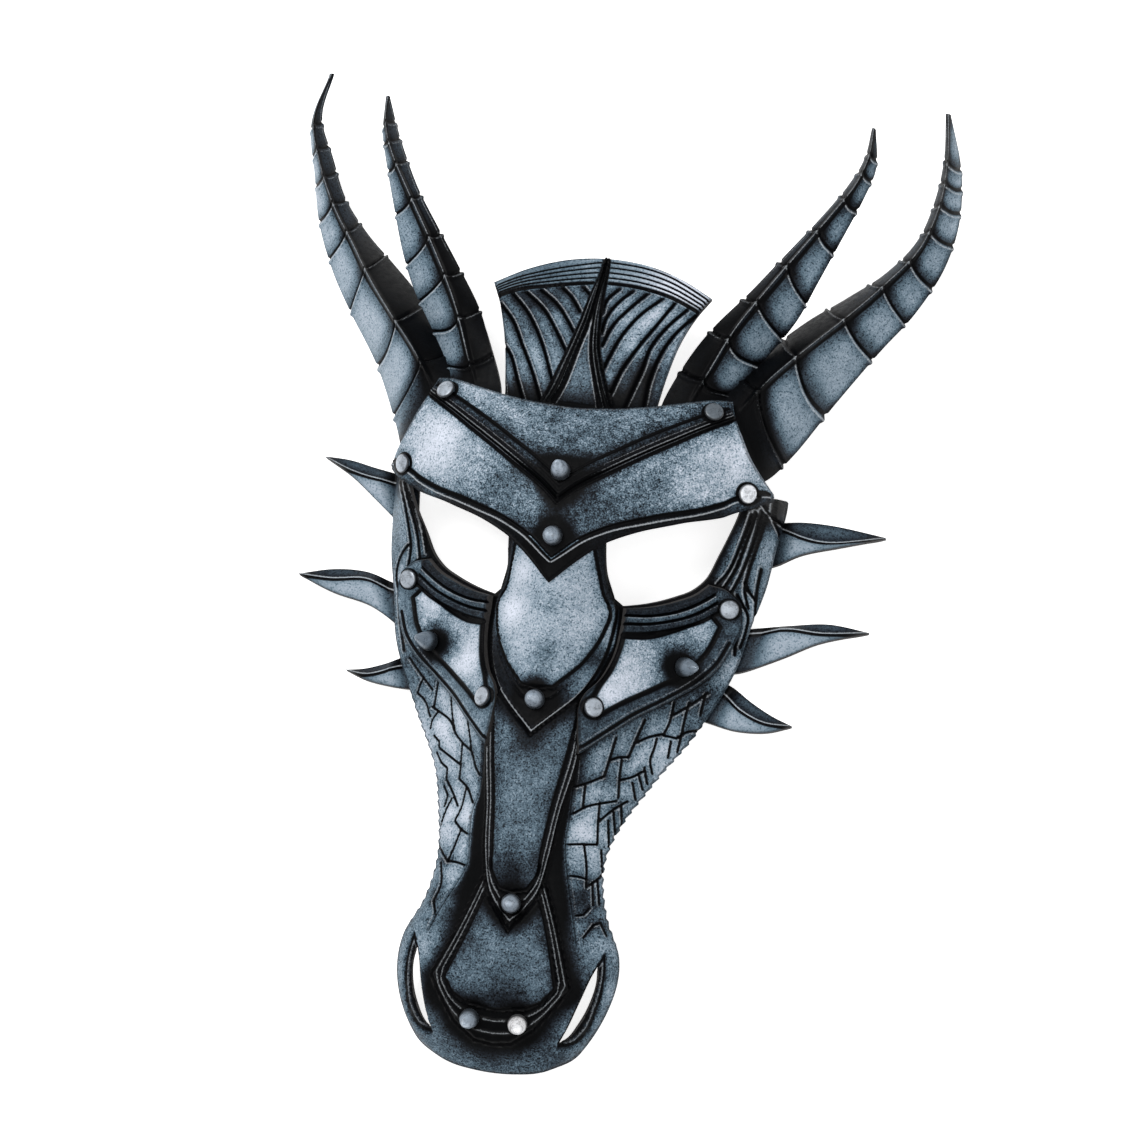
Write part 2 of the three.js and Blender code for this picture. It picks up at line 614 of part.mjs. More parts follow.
// Fasteners: flat rivets and cone studs. Seat is the depth of the leather under the cap,
// above the mould's outer face.
const FASTENERS = [
  { name: 'forehead_rivet_upper', x: 62, y: 107, seat: PLATE_TOP + RIDGE_RISE, pair: true },
  { name: 'forehead_rivet_lower', x: 79.5, y: 75.5, seat: PLATE_TOP, pair: true },
  { name: 'cheek_rivet_outer', x: 75.3, y: 26.5, seat: PLATE_TOP, pair: true },
  { name: 'cheek_rivet_inner', x: 23.5, y: -32.8, seat: PLATE_TOP + FIELD_RISE, pair: true },
  { name: 'cheek_stud', x: 58, y: -4.2, seat: PLATE_TOP + FIELD_RISE + 2 * GAP, pair: true, cone: true },
  { name: 'nose_tip_stud', x: 11, y: -176, seat: CARVE, pair: true, cone: true },
  { name: 'forehead_stud', x: 0, y: 69, seat: PLATE_TOP + RIDGE_RISE, cone: true },
  { name: 'brow_stud', x: 0, y: 41, seat: PLATE_TOP, cone: true },
  { name: 'nose_stud', x: 0, y: -33, seat: CARVE, cone: true },
  { name: 'snout_stud', x: 0, y: -124.5, seat: CARVE, cone: true },
];

function fastener({ x, y, seat, cone }) {
  const radius = cone ? STUD_RADIUS : RIVET_RADIUS;
  const rise = cone ? STUD_RISE : RIVET_RISE;
  const shoulders = cone ? [[0.85, 0.35], [0.3, 0.88]] : [[1, 0.5], [0.6, 0.9]];
  const profile = [[0, 0], [1, 0], ...shoulders, [0, 1]];
  const points = profile.map(([out, up]) => new THREE.Vector2(out * radius, up * rise));
  const geometry = new THREE.LatheGeometry(points, CAP_SIDES);
  const turn = new THREE.Quaternion().setFromUnitVectors(new THREE.Vector3(0, 1, 0), faceNormal(x, y));
  const base = offFace(x, y, seat + GAP);
  return toSolid(geometry.applyQuaternion(turn).translate(base.x, base.y, base.z));
}

// The real mask isn't quite true: low on the snout its sides lean over, and the chin sways the same way
const LEAN = 0.11;
const SWAY = 3;

function lean(geometry) {
  const position = geometry.attributes.position;
  for (let i = 0; i < position.count; i++) {
    const y = position.getY(i);
    const belowCrown = faceHeight(0, y) - position.getZ(i);
    const leaning = LEAN * belowCrown * THREE.MathUtils.smoothstep(-y, 60, 100);
    const swaying = SWAY * THREE.MathUtils.smoothstep(-y, 130, 190);
    position.setX(i, position.getX(i) - leaning - swaying);
  }
  return geometry;
}

const model = new THREE.Group();
function place(name, solid, finish) {
  const mesh = new THREE.Mesh(lean(toGeometry(solid)), finish);
  mesh.name = name;
  model.add(mesh);
}

place('face_shell', faceShell(), FINISH.shell);
place('forehead_plate', foreheadPlate(), FINISH.plate);
place('cheek_plate_right', cheekPlate(), FINISH.plate);
place('cheek_plate_left', mirrorSolid(cheekPlate()), FINISH.plate);
place('crest', crest(), FINISH.crest);

// The horns rise steeply where they come out, so they are cut back from the plate that they are tucked under
const ABOVE_PLATE = 14;
const plateClear = layer(0, ABOVE_PLATE, 20, 118).intersect(prism(grown(bothSides(PLATE_HALF), GAP)));
for (const [name, shape] of [['outer', OUTER_HORN], ['inner', INNER_HORN]]) {
  const horn = hornSolid(shape).subtract(plateClear);
  place(`${name}_horn_right`, horn, FINISH.horn);
  place(`${name}_horn_left`, mirrorSolid(horn), FINISH.horn);
}
SPIKES.forEach((shape, n) => {
  place(`cheek_spike_${n + 1}_right`, spike(shape.right), FINISH.spike);
  place(`cheek_spike_${n + 1}_left`, mirrorSolid(spike(shape.left)), FINISH.spike);
});
for (const cap of FASTENERS) {
  if (!cap.pair) {
    place(cap.name, fastener(cap), FINISH.metal);
    continue;
  }
  place(`${cap.name}_right`, fastener(cap), FINISH.metal);
  place(`${cap.name}_left`, fastener({ ...cap, x: -cap.x }), FINISH.metal);
}

// The mask is set down on the floor, with the middle of its length over the origin
model.position.y = -MIDDLE_Y;
model.updateMatrixWorld(true);
model.position.z = -new THREE.Box3().setFromObject(model, true).min.z;
export default model;
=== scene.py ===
# A dragon face mask of moulded, tooled and painted leather, lying on a pale floor.
# Lengths are millimetres in the mould's own scale: +X to the viewer's right, +Y from the chin to
# the horns, +Z out of the face. to_frame() turns them into the frame's metres.
import math

import bpy
import numpy as np
from mathutils import Matrix, Vector
from mathutils.geometry import delaunay_2d_cdt


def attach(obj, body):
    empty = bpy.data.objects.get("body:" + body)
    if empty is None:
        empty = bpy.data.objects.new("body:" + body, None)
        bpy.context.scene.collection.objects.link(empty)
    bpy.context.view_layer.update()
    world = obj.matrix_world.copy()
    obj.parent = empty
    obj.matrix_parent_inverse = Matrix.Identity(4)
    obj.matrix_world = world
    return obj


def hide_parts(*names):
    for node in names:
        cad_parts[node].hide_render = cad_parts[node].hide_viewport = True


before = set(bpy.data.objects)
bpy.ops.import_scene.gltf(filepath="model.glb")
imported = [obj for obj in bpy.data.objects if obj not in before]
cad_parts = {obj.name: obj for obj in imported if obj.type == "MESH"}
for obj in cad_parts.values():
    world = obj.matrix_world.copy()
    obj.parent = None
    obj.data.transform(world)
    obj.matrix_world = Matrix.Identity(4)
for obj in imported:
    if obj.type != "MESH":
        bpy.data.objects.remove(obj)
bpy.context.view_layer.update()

# Where the mould lies in the frame
MIDDLE_Y = 35.5
FLOOR_LIFT = 1.725
METRES = 0.001

# Leather
SHELL_THICK = 2.5
PLATE_THICK = 3.0
CREST_THICK = 2.4
HORN_THICK = 2.6
SPIKE_THICK = 2.6
GAP = 0.3
PLATE_TOP = GAP + PLATE_THICK
TUCK = 0.7
EDGE_ROUND = 0.7
CARVE = 1.3

# The mould's cross sections: where along Y, the half width, and the heights of the outer face at
# the parts of the half width that ACROSS names
ACROSS = np.array([0, 0.25, 0.5, 0.75, 0.9, 1])
SECTIONS = [
    (-200, 24, [5, 5, 5, 4, 3, 0]),
    (-185, 38.5, [20, 20, 18, 13, 8, 1]),
    (-165, 49.5, [29, 29, 28, 22.5, 17, 9]),
    (-140, 51, [34, 33.5, 31.5, 27, 23.5, 17]),
    (-124, 43.5, [37, 36, 33, 28, 25, 20]),
    (-100, 39.5, [43, 41.5, 37, 31, 27.5, 23]),
    (-80, 44, [45, 43, 37, 30, 26, 22]),
    (-60, 52, [47, 45, 36, 25, 20, 15]),
    (-33, 67, [50, 46, 35, 19, 13, 7.5]),
    (0, 82, [55, 44, 28, 18, 13.5, 7.5]),
    (20, 86, [57, 43, 27, 17, 13, 7.5]),
    (41, 91, [62, 56, 40, 25, 18, 7]),
    (58, 93, [65, 62, 53, 38, 27, 7]),
    (84, 95, [62, 61.5, 57, 46, 33, 2]),
    (110, 92, [53, 53.5, 53, 47, 38, 12]),
    (128, 86, [45, 45, 44, 38, 30, 16]),
]
PLACES = np.array([section[0] for section in SECTIONS], float)
HALVES = np.array([section[1] for section in SECTIONS], float)
RISES = np.array([section[2] for section in SECTIONS], float)

# Low on the snout the sides lean over, and the chin sways the same way; each grows between two
# places down the snout
LEAN = 0.11
LEAN_GROWS = (60, 100)
SWAY = 3
SWAY_GROWS = (130, 190)


# Curves through values at given places
def bend(start, leave, end, arrive, t):
    """A cubic from start to end as t runs from 0 to 1; leave and arrive are its slopes there."""
    return (
        start * (1 + 2 * t) * (1 - t) ** 2 + leave * t * (1 - t) ** 2
        + end * t * t * (3 - 2 * t) + arrive * t * t * (t - 1)
    )


def slopes_through(places, values, flat_start):
    """The slopes of a smooth curve through values, which run along the last axis."""
    steps = np.diff(places)
    rates = np.diff(values, axis=-1) / steps
    before, after = steps[:-1], steps[1:]
    slopes = np.zeros_like(values)
    slopes[..., 1:-1] = (after * rates[..., :-1] + before * rates[..., 1:]) / (before + after)
    slopes[..., 0] = 0 if flat_start else rates[..., 0]
    slopes[..., -1] = rates[..., -1]
    return slopes


def through(places, values, at, flat_start=False):
    """Readings of a smooth curve, which goes straight on beyond its last place. values has a number
    for each place along its last axis: one row for all the readings, or a row for each."""
    at = np.asarray(at, float)
    slopes = slopes_through(places, values, flat_start)
    k = np.clip(np.searchsorted(places, at, side="right") - 1, 0, len(places) - 2)
    step = places[k + 1] - places[k]

    def pick(table, column):
        rows = np.broadcast_to(table, (*at.shape, len(places)))
        return np.take_along_axis(rows, column[..., None], -1)[..., 0]

    leave = pick(slopes, k) * step
    arrive = pick(slopes, k + 1) * step
    curve = bend(pick(values, k), leave, pick(values, k + 1), arrive, (at - places[k]) / step)
    beyond = values[..., -1] + slopes[..., -1] * (at - places[-1])
    return np.where(at > places[-1], beyond, curve)


def half_width(y):
    return through(PLACES, HALVES, np.clip(y, PLACES[0], PLACES[-1]))


def face_height(x, y):
    """Height of the mould's outer face over places in the plan."""
    x, y = np.broadcast_arrays(np.asarray(x, float), np.asarray(y, float))
    held = np.clip(y, PLACES[0], PLACES[-1])
    heights = np.stack([through(PLACES, column, held) for column in RISES.T], -1)
    return through(ACROSS, heights, np.abs(x) / half_width(held), flat_start=True)


def surface(height):
    """A function that gives the points and normals of a height over the plan."""
    STEP = 0.5

    def points_and_normals(at):
        x, y = at[:, 0], at[:, 1]
        along_x = (height(x + STEP, y) - height(x - STEP, y)) / (2 * STEP)
        along_y = (height(x, y + STEP) - height(x, y - STEP)) / (2 * STEP)
        normals = np.stack([-along_x, -along_y, np.ones_like(x)], -1)
        normals /= np.linalg.norm(normals, axis=1, keepdims=True)
        return np.stack([x, y, height(x, y)], -1), normals

    return points_and_normals


mould_face = surface(face_height)


def smooth_step(low, high, value):
    t = np.clip((value - low) / (high - low), 0, 1)
    return t * t * (3 - 2 * t)


def to_frame(points):
    """Mould points in the frame: the lean and sway of the snout, then metres."""
    points = np.asarray(points, float)
    x, y, z = points.T
    below_crown = face_height(np.zeros_like(y), y) - z
    x = x - LEAN * below_crown * smooth_step(*LEAN_GROWS, -y) - SWAY * smooth_step(*SWAY_GROWS, -y)
    return np.stack([x, y - MIDDLE_Y, z + FLOOR_LIFT], -1) * METRES


# Lines and outlines in the plan
def smooth(points, pitch=1.0, closed=False, corner=36):
    """A curve through the points, rounded except where it turns by more than the corner angle."""
    points = np.array(points, float)
    count = len(points)

    def heading(i):
        if not closed and i in (0, count - 1):
            return None
        before = points[i] - points[i - 1]
        after = points[(i + 1) % count] - points[i]
        a, b = np.linalg.norm(before), np.linalg.norm(after)
        if before @ after < math.cos(math.radians(corner)) * a * b:
            return None
        turn = before / a * b + after / b * a
        return turn / np.linalg.norm(turn)

    headings = [heading(i) for i in range(count)]
    runs = []
    for i in range(count if closed else count - 1):
        start, end = points[i], points[(i + 1) % count]
        chord = end - start
        length = np.linalg.norm(chord)
        leave, arrive = headings[i], headings[(i + 1) % count]
        leave = chord if leave is None else leave * length
        arrive = chord if arrive is None else arrive * length
        steps = max(1, round(length / pitch))
        runs.append(bend(start, leave, end, arrive, np.arange(steps)[:, None] / steps))
    if not closed:
        runs.append(points[-1:])
    return np.concatenate(runs)


def both_sides(half):
    """Full outline from its right half, listed from the top middle to the bottom middle."""
    return [*half, *[(-x, y) for x, y in reversed(half) if x > 0.01]]


def mirrored(outline):
    return [(-x, y) for x, y in reversed(outline)]


def closed_line(outline):
    outline = np.asarray(outline, float)
    return np.concatenate([outline, outline[:1]])


def shrunk(outline, margin):
    """The outline moved inwards, roughly."""
    outline = np.asarray(outline, float)
    middle = outline.mean(0)
    out = outline - middle
    length = np.linalg.norm(out, axis=1, keepdims=True)
    return [tuple(p) for p in middle + out * np.clip(1 - margin / length, 0, 1)]


def length_along(line):
    """The length of a line up to each of its points."""
    return np.concatenate([[0], np.cumsum(np.linalg.norm(np.diff(line, axis=0), axis=1))])


def evenly(line, count):
    """Places spread evenly along a line."""
    length = length_along(line)
    at = np.linspace(0, length[-1], count)
    return np.stack([np.interp(at, length, line[:, n]) for n in (0, 1)], -1)


def between(first, second, share):
    """A line part of the way from one line to another."""
    COUNT = 70
    return evenly(smooth(first), COUNT) * (1 - share) + evenly(smooth(second), COUNT) * share


def shifted(line, off):
    """A line moved sideways, to its left if off is more than 0."""
    line = np.asarray(line, float)
    way = np.gradient(line, axis=0)
    way /= np.maximum(np.linalg.norm(way, axis=1, keepdims=True), 1e-9)
    return line + off * np.stack([-way[:, 1], way[:, 0]], -1)


def folded(at):
    """The same places, all on the right-hand side."""
    return np.stack([np.abs(at[:, 0]), at[:, 1]], -1)


# Places in order of Y, so that those near a line are a slice of them
def upward_order(places):
    return np.argsort(places[:, 1], kind="stable")


def upwards(places):
    return places[upward_order(places)]


def near_rows(at, low, high):
    """The slice of places, which run upwards in Y, between two values of Y."""
    return slice(*np.searchsorted(at[:, 1], [low, high]))


def gap_to(at, line, reach):
    """How far places are from a line, up to a reach, and which side they are on: 1 to its left and
    -1 to its right."""
    square = np.full(len(at), reach**2)
    side = np.ones(len(at))
    for start, end in zip(line[:-1], line[1:]):
        rows = near_rows(at, min(start[1], end[1]) - reach, max(start[1], end[1]) + reach)
        along = end - start
        length = along @ along
        if length < 1e-12 or rows.start >= rows.stop:
            continue
        off = at[rows] - start
        share = np.clip(off @ along / length, 0, 1)
        miss = off - share[:, None] * along
        found = (miss**2).sum(1)
        closer = found < square[rows]
        square[rows] = np.where(closer, found, square[rows])
        turn = np.where(along[0] * off[:, 1] - along[1] * off[:, 0] >= 0, 1.0, -1.0)
        side[rows] = np.where(closer, turn, side[rows])
    return np.sqrt(square), side


def gap_to_loops(places, loops, reach):
    """How far places are from the nearest of some closed lines, up to a reach."""
    return np.min([gap_to(places, closed_line(loop), reach)[0] for loop in loops], axis=0)


def inside(at, outline):
    """Which places lie inside a closed outline."""
    within = np.zeros(len(at), bool)
    line = closed_line(outline)
    for start, end in zip(line[:-1], line[1:]):
        low, high = sorted((start[1], end[1]))
        rows = near_rows(at, low, high)
        if rows.start >= rows.stop:
            continue
        part = at[rows]
        crossing = start[0] + (part[:, 1] - start[1]) / (end[1] - start[1]) * (end[0] - start[0])
        within[rows] ^= part[:, 0] < crossing
    return within


def inside_loops(at, loops):
    """Which places lie inside the first loop and outside the others."""
    kept = np.zeros(len(at), bool)
    for loop in loops:
        kept ^= inside(at, loop)
    return kept


def under_cover(places, covers):
    """Which places lie inside any of some outlines."""
    covered = np.zeros(len(places), bool)
    for outline in covers:
        covered |= inside(places, outline)
    return covered


def depth_in(at, outline, reach):
    """Distance in from an outline, negative outside it, up to a reach."""
    gap, _ = gap_to(at, closed_line(outline), reach)
    return np.where(inside(at, outline), gap, -gap)


def bump(t):
    """1 at 0, falling smoothly to 0 at 1 and beyond."""
    return np.clip(1 - t * t, 0, 1) ** 2


# Tooling and painting
# Distances from an edge are measured up to here
EDGE_REACH = 4


def drawn(gap, width):
    """How strongly a painted line of a width shows at a distance from its middle."""
    return 1 - 0.62 * gap / width


def fade(gap, reach):
    """1 at no distance, fading softly over a reach."""
    return np.exp(-((gap / reach) ** 2))


class Skin:
    """The outer face of one piece: its places, how far each is raised, and what is painted there.
    tone runs from black at 0 to white at 1, sponge is how strongly the paint is mottled, and ink
    and light are drawn lines, 1 along their middles. lines keeps the drawn lines themselves."""

    # A groove's light line, in the groove's widths: how far beside its middle, and how wide
    LIGHT_BESIDE = 1.7
    LIGHT_WIDTH = 0.9

    def __init__(self, at):
        self.full = at
        self.at = at
        self.both = False
        self.lines = []
        self.rise = np.zeros(len(at))
        self.tone = np.full(len(at), 0.5)
        self.sponge = np.ones(len(at))
        self.ink = np.zeros(len(at))
        # light holds the pale lines: partly dry-brushed paint, partly painted highlights on raised
        # edges
        self.light = np.zeros(len(at))

    def on_both_sides(self, both):
        """Whether what follows is worked alike into both halves, as drawn for the right one."""
        self.both = both
        self.at = folded(self.full) if both else self.full

    def keep_line(self, line, off=0.0):
        line = shifted(line, off)
        self.lines.append(line)
        if self.both:
            self.lines.append(line * [-1, 1])

    def share_in(self, outline, soft=1.0):
        """1 inside an outline and 0 outside it, with a soft edge."""
        return smooth_step(-soft / 2, soft / 2, depth_in(self.at, outline, EDGE_REACH))

    def shade_to(self, tone, share):
        self.tone += (tone - self.tone) * share

    def field(self, outline, tone, rise, sponge, soft=0.8):
        """A flat area with its own height and paint."""
        share = self.share_in(outline, soft)
        self.shade_to(tone, share)
        self.rise += (rise - self.rise) * share
        self.sponge += (sponge - self.sponge) * share

    def groove(self, line, width, depth, light=0.0, side=-1, shade=0.0, reach=3.0):
        """A pressed line with black paint in it, a light line along one side of it, and a soft
        shade round it."""
        gap, turn = gap_to(self.at, line, max(3.2 * width, 3 * reach if shade else 0))
        self.keep_line(line)
        self.rise -= depth * bump(gap / width)
        self.ink = np.maximum(self.ink, drawn(gap, width))
        # The light line beside a groove is partly paint and partly a painted highlight on its edge
        if light:
            beside = self.LIGHT_BESIDE * width
            self.keep_line(line, side * beside)
            off = np.abs(gap * np.where(turn == side, 1, -1) - beside)
            self.light = np.maximum(self.light, light * (1 - off / (self.LIGHT_WIDTH * width)))
        if shade:
            self.tone -= shade * fade(gap, reach)

    def ridge(self, line, width, height, light=0.0, tone=None):
        """A raised line, lighter along its middle or in a tone of its own."""
        gap, _ = gap_to(self.at, line, 3 * width)
        self.keep_line(line)
        self.rise += height * bump(gap / width)
        # The lighter middle is partly dry-brushed paint and partly a painted highlight on the crest
        if light:
            self.light = np.maximum(self.light, light * (1 - 1.4 * gap / width))
        if tone is not None:
            self.shade_to(tone, bump(gap / (1.3 * width)))

    def brush(self, line, amount, reach, within=None):
        """Darkens softly along a line."""
        gap, _ = gap_to(self.at, line, 2.6 * reach)
        share = amount * fade(gap, reach)
        self.tone -= share if within is None else share * self.share_in(within)

    def spot(self, centre, amount, reach):
        """Darkens softly round a place."""
        off = self.at - np.asarray(centre, float)
        self.tone -= amount * np.exp(-(off**2).sum(1) / reach**2)

    def wash(self, places, within=None, amount=1.0):
        """Brings the paint softly towards a tone round each of some places, (x, y, tone, reach), on
        one side of the mask only."""
        held = amount if within is None else amount * self.share_in(within)
        for x, y, tone, reach in places:
            off = self.full - np.array([x, y], float)
            self.shade_to(tone, held * np.exp(-(off**2).sum(1) / reach**2))

    def clear(self, outline, soft=0.6):
        """Wipes lines away inside an outline."""
        share = self.share_in(outline, soft)
        self.ink *= 1 - share
        self.light *= 1 - share

    def seat_caps(self):
        """Black round the rivets' and studs' feet, part paint, part painted shadow: a line, a soft
        cloud.
        """
        for _, x, y, _, kind, pair in FASTENERS:
            amount, reach = CAP_CLOUD[kind]
            for sign in (1, -1) if pair else (1,):
                middle = np.array([sign * x, y], float)
                _, normal = mould_face(middle[None])
                off = self.full - middle
                fall = off @ (normal[0, :2] / normal[0, 2])
                gap = np.sqrt((off**2).sum(1) + fall**2) - CAP_SIZES[kind][0]
                self.ink = np.maximum(self.ink, drawn(np.abs(gap), CAP_LINE[kind]))
                self.tone -= amount * fade(np.maximum(gap, 0), reach)


# Meshes
# What the leather's plain back and cut edges have for each value that the outer face has painted
BACK_VALUES = {"tone": 0.1, "sponge": 1.0, "ink": 0.0, "light": 0.0, "edge": 0.0}
SHARP_FROM = 62


def mesh_object(name, points, triangles, values, backs, materials):
    """A mesh object in the frame. values holds a number per point for each painted value, and backs
    says which triangles have the second material."""
    mesh = bpy.data.meshes.new(name)
    mesh.vertices.add(len(points))
    mesh.vertices.foreach_set("co", to_frame(points).astype(np.float32).ravel())
    mesh.loops.add(3 * len(triangles))
    mesh.loops.foreach_set("vertex_index", np.asarray(triangles, np.int32).ravel())
    mesh.polygons.add(len(triangles))
    mesh.polygons.foreach_set("loop_start", np.arange(0, 3 * len(triangles), 3, dtype=np.int32))
    for material in materials:
        mesh.materials.append(material)
    mesh.polygons.foreach_set("material_index", np.asarray(backs, np.int32))
    mesh.update(calc_edges=True)
    mesh.validate()
    mesh.polygons.foreach_set("use_smooth", np.ones(len(mesh.polygons), bool))
    for key, numbers in values.items():
        layer = mesh.attributes.new(key, "FLOAT", "POINT")
        layer.data.foreach_set("value", np.asarray(numbers, np.float32))
    mesh.set_sharp_from_angle(angle=math.radians(SHARP_FROM))
    piece = bpy.data.objects.new(name, mesh)
    bpy.context.scene.collection.objects.link(piece)
    return piece


def staggered(outline, pitch):
    """Places in staggered rows over an outline's box."""
    ROW = 0.87
    low, high = np.min(outline, 0), np.max(outline, 0)
    rows = np.arange(low[1], high[1], pitch * ROW)
    columns = np.arange(low[0], high[0] + pitch, pitch)
    x = columns[None, :] + (np.arange(len(rows)) % 2)[:, None] * pitch / 2
    y = np.broadcast_to(rows[:, None], x.shape)
    return np.stack([x, y], -1).reshape(-1, 2)


def ring_numbers(loops):
    """Each loop's points as numbers, the loops counted one after another."""
    starts = np.cumsum([0] + [len(loop) for loop in loops])
    return [np.arange(start, end) for start, end in zip(starts[:-1], starts[1:])]


def cut_out(loops, places):
    """Triangles over the area inside the first loop and outside the others. Returns the places in
    order of Y, the triangles, and each loop's places as numbers."""
    rings = ring_numbers(loops)
    edges = np.concatenate([np.stack([ring, np.roll(ring, -1)], -1) for ring in rings])
    given = [Vector(p) for p in np.concatenate([*loops, places]).tolist()]
    made = delaunay_2d_cdt(given, edges.tolist(), [], 0, 1e-5)
    at = np.array([tuple(p) for p in made[0]])
    new = np.zeros(len(given), int)
    for number, sources in enumerate(made[3]):
        for source in sources:
            new[source] = number
    order = upward_order(at)
    rank = np.empty(len(order), int)
    rank[order] = np.arange(len(order))
    at = at[order]
    triangles = rank[np.array(made[2])]
    triangles = triangles[upward_order(at[triangles].mean(1))]
    triangles = triangles[inside_loops(at[triangles].mean(1), loops)]
    a, b, c = (at[triangles[:, n]] for n in range(3))
    over = (b - a)[:, 0] * (c - a)[:, 1] - (b - a)[:, 1] * (c - a)[:, 0] < 0
    triangles[over] = triangles[over][:, ::-1]
    return at, triangles, [rank[new[ring]] for ring in rings]


def within_loops(places, loops, margin):
    """The places inside the first loop and outside the others, clear of all of them."""
    places = upwards(places)
    gap = gap_to_loops(places, loops, margin)
    return places[inside_loops(places, loops) & (gap >= margin)]


def along_lines(lines, pitch):
    """Places spread evenly along lines, none of them nearly twice."""
    CELL = 0.55
    counts = [max(2, round(length_along(line)[-1] / pitch) + 1) for line in lines]
    places = np.concatenate([evenly(line, count) for line, count in zip(lines, counts)])
    cells = np.round(places / (CELL * pitch)).astype(int)
    _, first = np.unique(cells, axis=0, return_index=True)
    return places[first]


def sheet_places(loops, paint, pitch, covers):
    """The places for a sheet's outer face: closer rows with the drawn lines among them where it
    shows, and wide rows where it is covered."""
    sketch = Skin(upwards(loops[0]))
    paint(sketch)
    lines = upwards(along_lines(sketch.lines, 0.8 * pitch))
    places = upwards(staggered(loops[0], pitch))
    free = np.ones(len(places), bool)
    for line in sketch.lines:
        free &= gap_to(places, line, pitch)[0] > 0.5 * pitch
    wide = upwards(staggered(loops[0], 4 * pitch))
    chosen = [
        lines[~under_cover(lines, covers)],
        places[free & ~under_cover(places, covers)],
        wide[under_cover(wide, covers)],
    ]
    return within_loops(np.concatenate(chosen), loops, 0.5 * pitch)


def edge_walls(loops, upper_rings, lower_rings):
    """Triangles down a sheet's cut edges, from its outer face's rings to its back's."""
    walls = []
    for n, (loop, upper, lower) in enumerate(zip(loops, upper_rings, lower_rings)):
        a, b, c, d = upper, np.roll(upper, -1), lower, np.roll(lower, -1)
        x, y = closed_line(loop).T
        area = (x[:-1] * y[1:] - x[1:] * y[:-1]).sum()
        outward = (area > 0) == (n == 0)
        pair = [np.stack([a, c, d], -1), np.stack([a, d, b], -1)]
        walls += pair if outward else [wall[:, ::-1] for wall in pair]
    return np.concatenate(walls)


def leather_sheet(name, outlines, face, top, thick, paint, finishes, pitch, covers=()):
    """Moulded leather cut to its outlines, the holes after the edge. top is how far its outer face
    lies over the mould, paint tools and colours it, and inside covers it has fewer faces."""
    BACK_PITCH = 3.0
    loops = [smooth(outline, pitch, closed=True) for outline in outlines]
    at, triangles, rings = cut_out(loops, sheet_places(loops, paint, pitch, covers))
    skin = Skin(at)
    paint(skin)
    edge = gap_to_loops(at, loops, EDGE_REACH)
    near = np.clip(EDGE_ROUND - edge, 0, EDGE_ROUND)
    rounding = EDGE_ROUND - np.sqrt(EDGE_ROUND**2 - near**2)
    points, normals = face(at)
    points = points + normals * (top + skin.rise - rounding)[:, None]

    back_places = within_loops(staggered(loops[0], BACK_PITCH), loops, 0.5 * BACK_PITCH)
    back_at, back_triangles, back_rings = cut_out(loops, back_places)
    back_points, back_normals = face(back_at)
    back_points = back_points + back_normals * (top - thick)
    walls = edge_walls(loops, rings, [ring + len(at) for ring in back_rings])
    faces = np.concatenate([triangles, walls, back_triangles[:, ::-1] + len(at)])
    backs = np.arange(len(faces)) >= len(triangles)
    painted = {
        "tone": skin.tone, "sponge": skin.sponge, "ink": skin.ink, "light": skin.light, "edge": edge,
    }
    values = {
        key: np.concatenate([painted[key], np.full(len(back_at), plain)])
        for key, plain in BACK_VALUES.items()
    }
    return mesh_object(name, np.concatenate([points, back_points]), faces, values, backs, finishes)


def leather_leaf(name, side, upper, lower, painted, finishes):
    """Folded leather from a grid of points on its face and a rougher grid on its back, both in
    rows from the root to the tip. They are drawn for the right-hand side, 1, and mirrored for the
    left-hand one, -1."""
    if side < 0:
        upper, lower = upper[:, ::-1] * [-1, 1, 1], lower[:, ::-1] * [-1, 1, 1]
        painted = {key: table[:, ::-1] for key, table in painted.items()}
    rows, across, _ = upper.shape
    ring = across + lower.shape[1]
    points = np.concatenate([upper, lower[:, ::-1]], 1)
    i, j = np.meshgrid(np.arange(rows - 1), np.arange(ring), indexing="ij")
    a = i * ring + j
    b = i * ring + (j + 1) % ring
    c, d = a + ring, b + ring
    sides = np.concatenate([np.stack([a, b, d], -1), np.stack([a, d, c], -1)], 2).reshape(-1, 3)
    on_back = np.repeat((j >= across - 1).reshape(-1), 2)
    ends = []
    for row, turned in ((0, True), (rows - 1, False)):
        first = row * ring
        fan = [(first, first + n, first + n + 1) for n in range(1, ring - 1)]
        ends += [face[::-1] for face in fan] if turned else fan
    faces = np.concatenate([sides, ends])
    backs = np.concatenate([on_back, np.ones(len(ends), bool)])
    values = {}
    for key, plain in BACK_VALUES.items():
        table = np.full((rows, ring), plain)
        table[:, :across] = painted[key]
        values[key] = table.ravel()
    return mesh_object(name, points.reshape(-1, 3), faces, values, backs, finishes)


